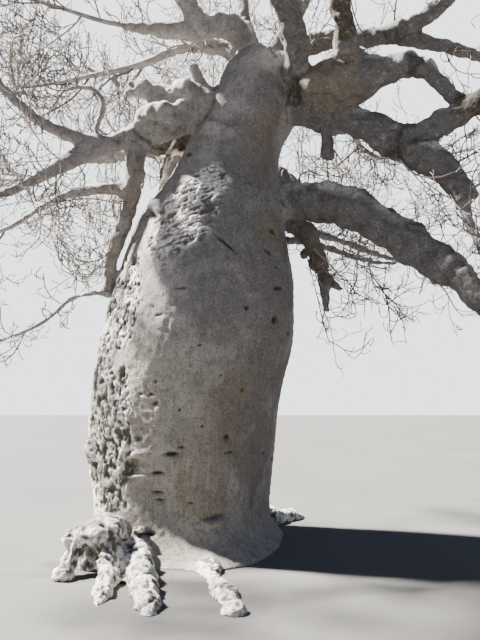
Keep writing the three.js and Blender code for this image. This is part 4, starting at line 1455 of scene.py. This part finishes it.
# The tubes round twigs: their sides, and every how many points of its line a fine twig has a ring
STEM_SIDES = 10
COARSE_SIDES = 5
SHOOT_SIDES = 4
FINE_SIDES = 3
FINE_STRIDES = (2, 2, 3)
# How knobbly the thicker twigs are. The depth is a share of their radius
TWIG_KNOBS = Pattern(0.12, 0.12, 71)
# Twig colours, dealt out twig by twig. A stem has the first
TWIG_TONES = (
    ("boab twig bark grey", "#959190", "#7b7674"),
    ("boab twig bark brown", "#857a72", "#6a605a"),
    ("boab twig bark pale", "#b4afab", "#95908c"),
    ("boab twig bark dark", "#6c6663", "#544f4c"),
)
# What is added to a mass's or a bough's own number to seed the colours of its twigs, or its nuts
SPRAY_TONE_SEED = 900
SHOOT_TONE_SEED = 700
NUT_SEED = 300


def deal_tones(twigs, draw):
    """A colour for each of these twigs."""
    return [int(draw() * len(TWIG_TONES)) for _ in twigs]


def add_twigs(heap, twigs, sides, stride, tones, knobbly=False):
    """Tubes round these twigs, with a tone each."""
    if not twigs:
        return
    lines = np.array([twig.line[::stride] for twig in twigs])
    shares = np.linspace(0, 1, TWIG_STEPS // stride + 1)
    radii = np.array([twig.radius(shares) for twig in twigs])
    if knobbly:
        radii = radii * (1 + TWIG_KNOBS.waves(lines.reshape(-1, 3)).reshape(radii.shape))
    points, faces = tubes(lines, radii, sides)
    heap.add(points, faces, np.repeat(tones, len(faces) // len(twigs)))


def add_fine(heap, generations, draw):
    for twigs, stride in zip(generations, FINE_STRIDES):
        add_twigs(heap, twigs, FINE_SIDES, stride, deal_tones(twigs, draw))


def spray_mesh(name, coarse, fine, seed):
    """A mass's stem, its other coarse twigs and its fine ones."""
    draw = seeded(seed + SPRAY_TONE_SEED)
    heap = Heap()
    add_twigs(heap, coarse[:1], STEM_SIDES, 1, [0], knobbly=True)
    add_twigs(heap, coarse[1:], COARSE_SIDES, 1, deal_tones(coarse[1:], draw), knobbly=True)
    add_fine(heap, fine, draw)
    return heap.mesh(name)


# Nuts: woody pods that hang from twig tips
NUT_LENGTH = 0.095
NUT_RADIUS = 0.032
# How far its middle hangs below the twig's tip, over its length
NUT_HANG = 0.42
NUT_SIDES = 14
NUT_RINGS = 12
# Powers that shape the egg: under 1 the first raises its belly and the second fills it out. It is this
# much thinner at its lower end
NUT_BELLY = 0.85
NUT_FULL = 0.62
NUT_POINT = 0.12
STALK_RADIUS = 0.004
# Each mass has this many nuts more than the source gives it, some of them a little smaller
EXTRA_NUTS = 1
EXTRA_SIZES = (0.75, 1)


def add_nut(heap, tip, size):
    """One nut under a twig's tip: an egg with a drawn-out point below and a short stalk above."""
    length = NUT_LENGTH * size
    share = np.linspace(0, 1, NUT_RINGS)
    spine = np.tile(tip, (NUT_RINGS, 1))
    spine[:, 2] = tip[2] + length * (0.5 - NUT_HANG) - length * share
    girth = np.sin(np.pi * share ** NUT_BELLY) ** NUT_FULL * (1 - NUT_POINT * share)
    radius = NUT_RADIUS * size * girth + STALK_RADIUS * (1 - share)
    heap.add(*tubes(spine[None], radius[None], NUT_SIDES))


def hang_nuts(heap, twigs, seed):
    """More nuts, at the tips of some of these twigs."""
    draw = seeded(seed)
    for _ in range(min(EXTRA_NUTS, len(twigs))):
        twig = twigs[int(draw() * len(twigs))]
        add_nut(heap, twig.line[-1], between(EXTRA_SIZES, draw()))


# Materials
def linear(colour):
    """An sRGB hex colour as linear red, green and blue, with full alpha."""
    channels = [int(colour[i:i + 2], 16) / 255 for i in (1, 3, 5)]
    return (*[c / 12.92 if c <= 0.04045 else ((c + 0.055) / 1.055) ** 2.4 for c in channels], 1)


def add_node(tree, kind, inputs=(), stops=(), **settings):
    """Adds a node with its settings. An input is a value, or the socket that feeds it. The two stops of
    a colour ramp are each a place and a hex colour."""
    node = tree.nodes.new("ShaderNode" + kind)
    for name, value in settings.items():
        setattr(node, name, value)
    for name, value in dict(inputs).items():
        if isinstance(value, bpy.types.NodeSocket):
            tree.links.new(value, node.inputs[name])
        else:
            node.inputs[name].default_value = value
    for number, (place, colour) in enumerate(stops):
        stop = node.color_ramp.elements[number]
        stop.position = place
        stop.color = linear(colour)
    return node


def new_material(name):
    material = bpy.data.materials.new(name)
    material.use_nodes = True
    material.node_tree.nodes.clear()
    return material, material.node_tree


@dataclass(frozen=True)
class Layer:
    """A colour laid over the bark. It lies where a painted value of the mesh says, and comes in clouds:
    their size in millimetres, their detail, and the noise at which they start and are full."""
    colour: str
    where: str = ""
    clouds: tuple = ()
    strength: float = 1
    streaked: bool = False
    blend: str = "MIX"


BARK_GREY = "#8f8a82"
BARK_LAYERS = (
    # Broad mottling, and painted shade: the darker grey of the side away from the sun
    Layer("#a59f95", clouds=(300, 4, 0.35, 0.65)),
    Layer("#6b6863", "slate", (220, 4, 0.25, 0.45)),
    # Painted light: the bluish tint of skylight, which grows up the tree
    Layer("#e9edfb", "cool", blend="MULTIPLY"),
    # Dull blotches, and streaks that water has left
    Layer("#6b6761", clouds=(70, 5, 0.50, 0.68), strength=0.6),
    Layer("#625c53", clouds=(35, 4, 0.50, 0.70), strength=0.45, streaked=True),
    # Brown where the bark has flaked, then mildew and moss. On the drooping left boughs the brown and moss
    # are partly painted shade
    Layer("#7c6f5d", "brown", (60, 5, 0.30, 0.75), streaked=True),
    Layer("#5e5949", "mildew", (30, 5, 0.50, 0.72)),
    Layer("#443d32", "moss", (60, 5, 0.25, 0.55)),
    # A pale chalky crust, with painted highlights on the crests and on the boughs' tops
    Layer("#ebe8e2", "crust", (40, 5, 0.25, 0.60)),
    # Dark pores and pale flecks. The real ones are a few millimetres, too fine to show
    Layer("#504c47", clouds=(18, 3, 0.54, 0.64), strength=0.65),
    Layer("#b3afa8", clouds=(26, 3, 0.56, 0.68), strength=0.35),
    # Painted shade in cracks and pits, with the dark of a few marks
    Layer("#2f2a23", "hollow", strength=0.9),
)
# The bark's grain, which is also drawn coarser than the real one so that it shows
BARK_GRAIN = (16, 5, 0.2, 0.8)
# The streaks' width over their length, and the roughness of all the bark's clouds
STREAK = 0.12
CLOUD_ROUGHNESS = 0.6


def clouds(tree, vector, size, detail, low, high):
    """Noise whose lumps are size millimetres across, spread from 0 at low to 1 at high."""
    spots = add_node(tree, "TexNoise", {
        "Vector": vector, "Scale": 1000 / size, "Detail": detail, "Roughness": CLOUD_ROUGHNESS,
    })
    spread = add_node(tree, "MapRange", {"Value": spots.outputs["Fac"], "From Min": low, "From Max": high})
    return spread.outputs["Result"]


def laid_over(tree, below, layer, vector):
    """The bark's colour with one more layer over what lies below it."""
    parts = []
    if layer.where:
        parts.append(add_node(tree, "Attribute", attribute_name=layer.where).outputs["Fac"])
    if layer.clouds:
        parts.append(clouds(tree, vector, *layer.clouds))
    if layer.strength < 1:
        parts.append(layer.strength)
    share = parts[0]
    for part in parts[1:]:
        product = add_node(tree, "Math", {0: share, 1: part}, operation="MULTIPLY", use_clamp=True)
        share = product.outputs[0]
    colours = {"Fac": share, "Color1": below, "Color2": linear(layer.colour)}
    return add_node(tree, "MixRGB", colours, blend_type=layer.blend).outputs["Color"]


def boab_bark():
    """Boab bark, weathered outdoors: dull mottled grey, with painted shade in its cracks and pits and on
    its side away from the sun, pale and chalky where it is crusted, with painted highlights there and on
    the boughs' tops, browner where it has flaked, with a painted bluish skylight up the tree, water streaks
    down it and fine specks."""
    material, tree = new_material("boab bark")
    place = add_node(tree, "TexCoord").outputs["Object"]
    streaked = add_node(tree, "Mapping", {"Vector": place, "Scale": (1, 1, STREAK)}).outputs["Vector"]
    colour = linear(BARK_GREY)
    for layer in BARK_LAYERS:
        colour = laid_over(tree, colour, layer, streaked if layer.streaked else place)
    grain = clouds(tree, place, *BARK_GRAIN)
    bump = add_node(tree, "Bump", {"Height": grain, "Distance": 0.008, "Strength": 0.8})
    shader = add_node(tree, "BsdfPrincipled", {
        "Base Color": colour, "Roughness": 0.9, "IOR": 1.45, "Specular IOR Level": 0.25,
        "Normal": bump.outputs[0],
    })
    add_node(tree, "OutputMaterial", {"Surface": shader.outputs[0]})
    return material


def two_shades(name, size, detail, stops, surface, bump=None):
    """A material in two shades, which lie in clouds this many millimetres across."""
    material, tree = new_material(name)
    place = add_node(tree, "TexCoord").outputs["Object"]
    spots = add_node(tree, "TexNoise", {"Vector": place, "Scale": 1000 / size, "Detail": detail})
    shades = add_node(tree, "ValToRGB", {"Fac": spots.outputs["Fac"]}, stops=stops)
    inputs = {"Base Color": shades.outputs["Color"], **surface}
    if bump:
        inputs["Normal"] = add_node(tree, "Bump", {"Height": spots.outputs["Fac"], **bump}).outputs[0]
    shader = add_node(tree, "BsdfPrincipled", inputs)
    add_node(tree, "OutputMaterial", {"Surface": shader.outputs[0]})
    return material


def twig_bark(name, colour, dark):
    """Young boab bark: thin, matt and even, with a slightly darker shade in patches of about 110 mm."""
    surface = {"Roughness": 0.85, "IOR": 1.45, "Specular IOR Level": 0.25}
    return two_shades(name, size=111.1, detail=3, stops=((0.4, dark), (0.6, colour)), surface=surface)


def nut_shell():
    """Boab nut: a hard shell under a short brown felt, which looks dull, with darker worn patches of
    about 22 mm."""
    surface = {"Roughness": 0.8, "IOR": 1.45, "Specular IOR Level": 0.3, "Sheen Weight": 0.2}
    felt = ((0.35, "#33281f"), (0.65, "#5a4a3a"))
    bump = {"Distance": 0.002, "Strength": 0.5}
    return two_shades("boab nut shell", size=22.22, detail=4, stops=felt, surface=surface, bump=bump)


def pale_floor():
    """Matt grey paint on a studio floor, in faint clouds of 2.5 m, which the strong sunlight shows pale."""
    greys = ((0.3, "#4c4b4a"), (0.7, "#525150"))
    return two_shades("matt floor paint", size=2500, detail=2, stops=greys, surface={"Roughness": 0.95})


# Stage: floor, light and camera
FLOOR_HALF = 60
# The camera's tilt up from straight down, its lens and film in millimetres, and how far it sees
EYE_PITCH = 97.1
LENS = 36
FILM = 36
FAR = 200
# The sun's width in degrees, its strength and its colour
SUN_SOFTNESS = 4
SUN_STRENGTH = 60
SUN = "#fffaf2"
# The sky that the camera sees, and the bluish one that fills the shade
SKY = "#e9ecef"
SKY_STRENGTH = 3.0
FILL = "#b9cdf6"
FILL_STRENGTH = 0.42


def set_floor():
    corners = [(x * FLOOR_HALF, y * FLOOR_HALF, 0) for x, y in ((-1, -1), (1, -1), (1, 1), (-1, 1))]
    mesh = bpy.data.meshes.new("floor")
    mesh.from_pydata(corners, [], [(0, 1, 2, 3)])
    mesh.materials.append(pale_floor())
    floor = bpy.data.objects.new("floor", mesh)
    bpy.context.scene.collection.objects.link(floor)


def set_light():
    sun = bpy.data.lights.new("sun", "SUN")
    sun.energy = SUN_STRENGTH
    sun.angle = math.radians(SUN_SOFTNESS)
    sun.color = linear(SUN)[:3]
    lamp = bpy.data.objects.new("sun", sun)
    lamp.rotation_euler = (math.radians(90 - SUN_RISE), 0, math.radians(SUN_HEADING + 90))
    bpy.context.scene.collection.objects.link(lamp)
    world = bpy.data.worlds.new("sky")
    world.use_nodes = True
    tree = world.node_tree
    tree.nodes.clear()
    fill = add_node(tree, "Background", {"Color": linear(FILL), "Strength": FILL_STRENGTH})
    seen = add_node(tree, "Background", {"Color": linear(SKY), "Strength": SKY_STRENGTH})
    ray = add_node(tree, "LightPath")
    both = add_node(tree, "MixShader", {
        0: ray.outputs["Is Camera Ray"], 1: fill.outputs[0], 2: seen.outputs[0],
    })
    add_node(tree, "OutputWorld", {"Surface": both.outputs[0]})
    bpy.context.scene.world = world


def set_camera():
    camera = bpy.data.objects.new("camera", bpy.data.cameras.new("camera"))
    camera.data.lens = LENS
    camera.data.sensor_width = FILM
    camera.data.clip_end = FAR
    camera.location = EYE
    camera.rotation_euler = (math.radians(EYE_PITCH), 0, 0)
    bpy.context.scene.collection.objects.link(camera)
    bpy.context.scene.camera = camera


# The tree
def dress_masses(spaces, views, tones, nuts):
    """A spray for each mass: the source's twigs, the finer ones on them, and nuts."""
    for mass in MASSES:
        space = spaces[mass.name]

        def clear(points, radius, space=space):
            return space.holds(points, radius) and not hides(views, points)

        coarse = [twig for twig in grow_coarse(mass, space) if in_room(twig.line)]
        fine = grow_fine(coarse, SPARSER[side_of(mass.bough)], clear)
        name = mass.name.replace("twigs", "spray")
        show(name, spray_mesh(name, coarse, fine, mass.seed), tones, [mass.name])
        for twig in coarse[len(coarse) - mass.nuts:]:
            add_nut(nuts, twig.line[-1], 1)
        hang_nuts(nuts, fine[0], mass.seed + NUT_SEED)


def dress_boughs(lines, limbs, views, tones):
    """The shoots of each side's boughs, joined into one piece a side."""
    sides = {}
    for number, bough in enumerate(BOUGHS):
        if bough.name in SHOOTLESS:
            continue
        draw = seeded(number + SHOOT_TONE_SEED)
        heap = sides.setdefault(side_of(bough.name), Heap())
        shoots, fine = grow_shoots(bough, lines[bough.name], limbs, views)
        add_twigs(heap, shoots, SHOOT_SIDES, 1, deal_tones(shoots, draw), knobbly=True)
        add_fine(heap, fine, draw)
    for side, heap in sides.items():
        show("shoots_" + side, heap.mesh("shoots_" + side), tones)


def dress_tree():
    lines = grow_boughs()
    limbs = wood(lines)
    skin = bark_mesh(lines)
    show("bark", skin, [boab_bark()], ["trunk", *[bough.name for bough in BOUGHS]])
    tones = [twig_bark(*tone) for tone in TWIG_TONES]
    nuts = Heap()
    views = bare_views(lines)
    dress_masses(mass_spaces(lines, limbs), views, tones, nuts)
    dress_boughs(lines, limbs, views, tones)
    show("nuts", nuts.mesh("nuts"), [nut_shell()])


dress_tree()
set_floor()
set_light()
set_camera()
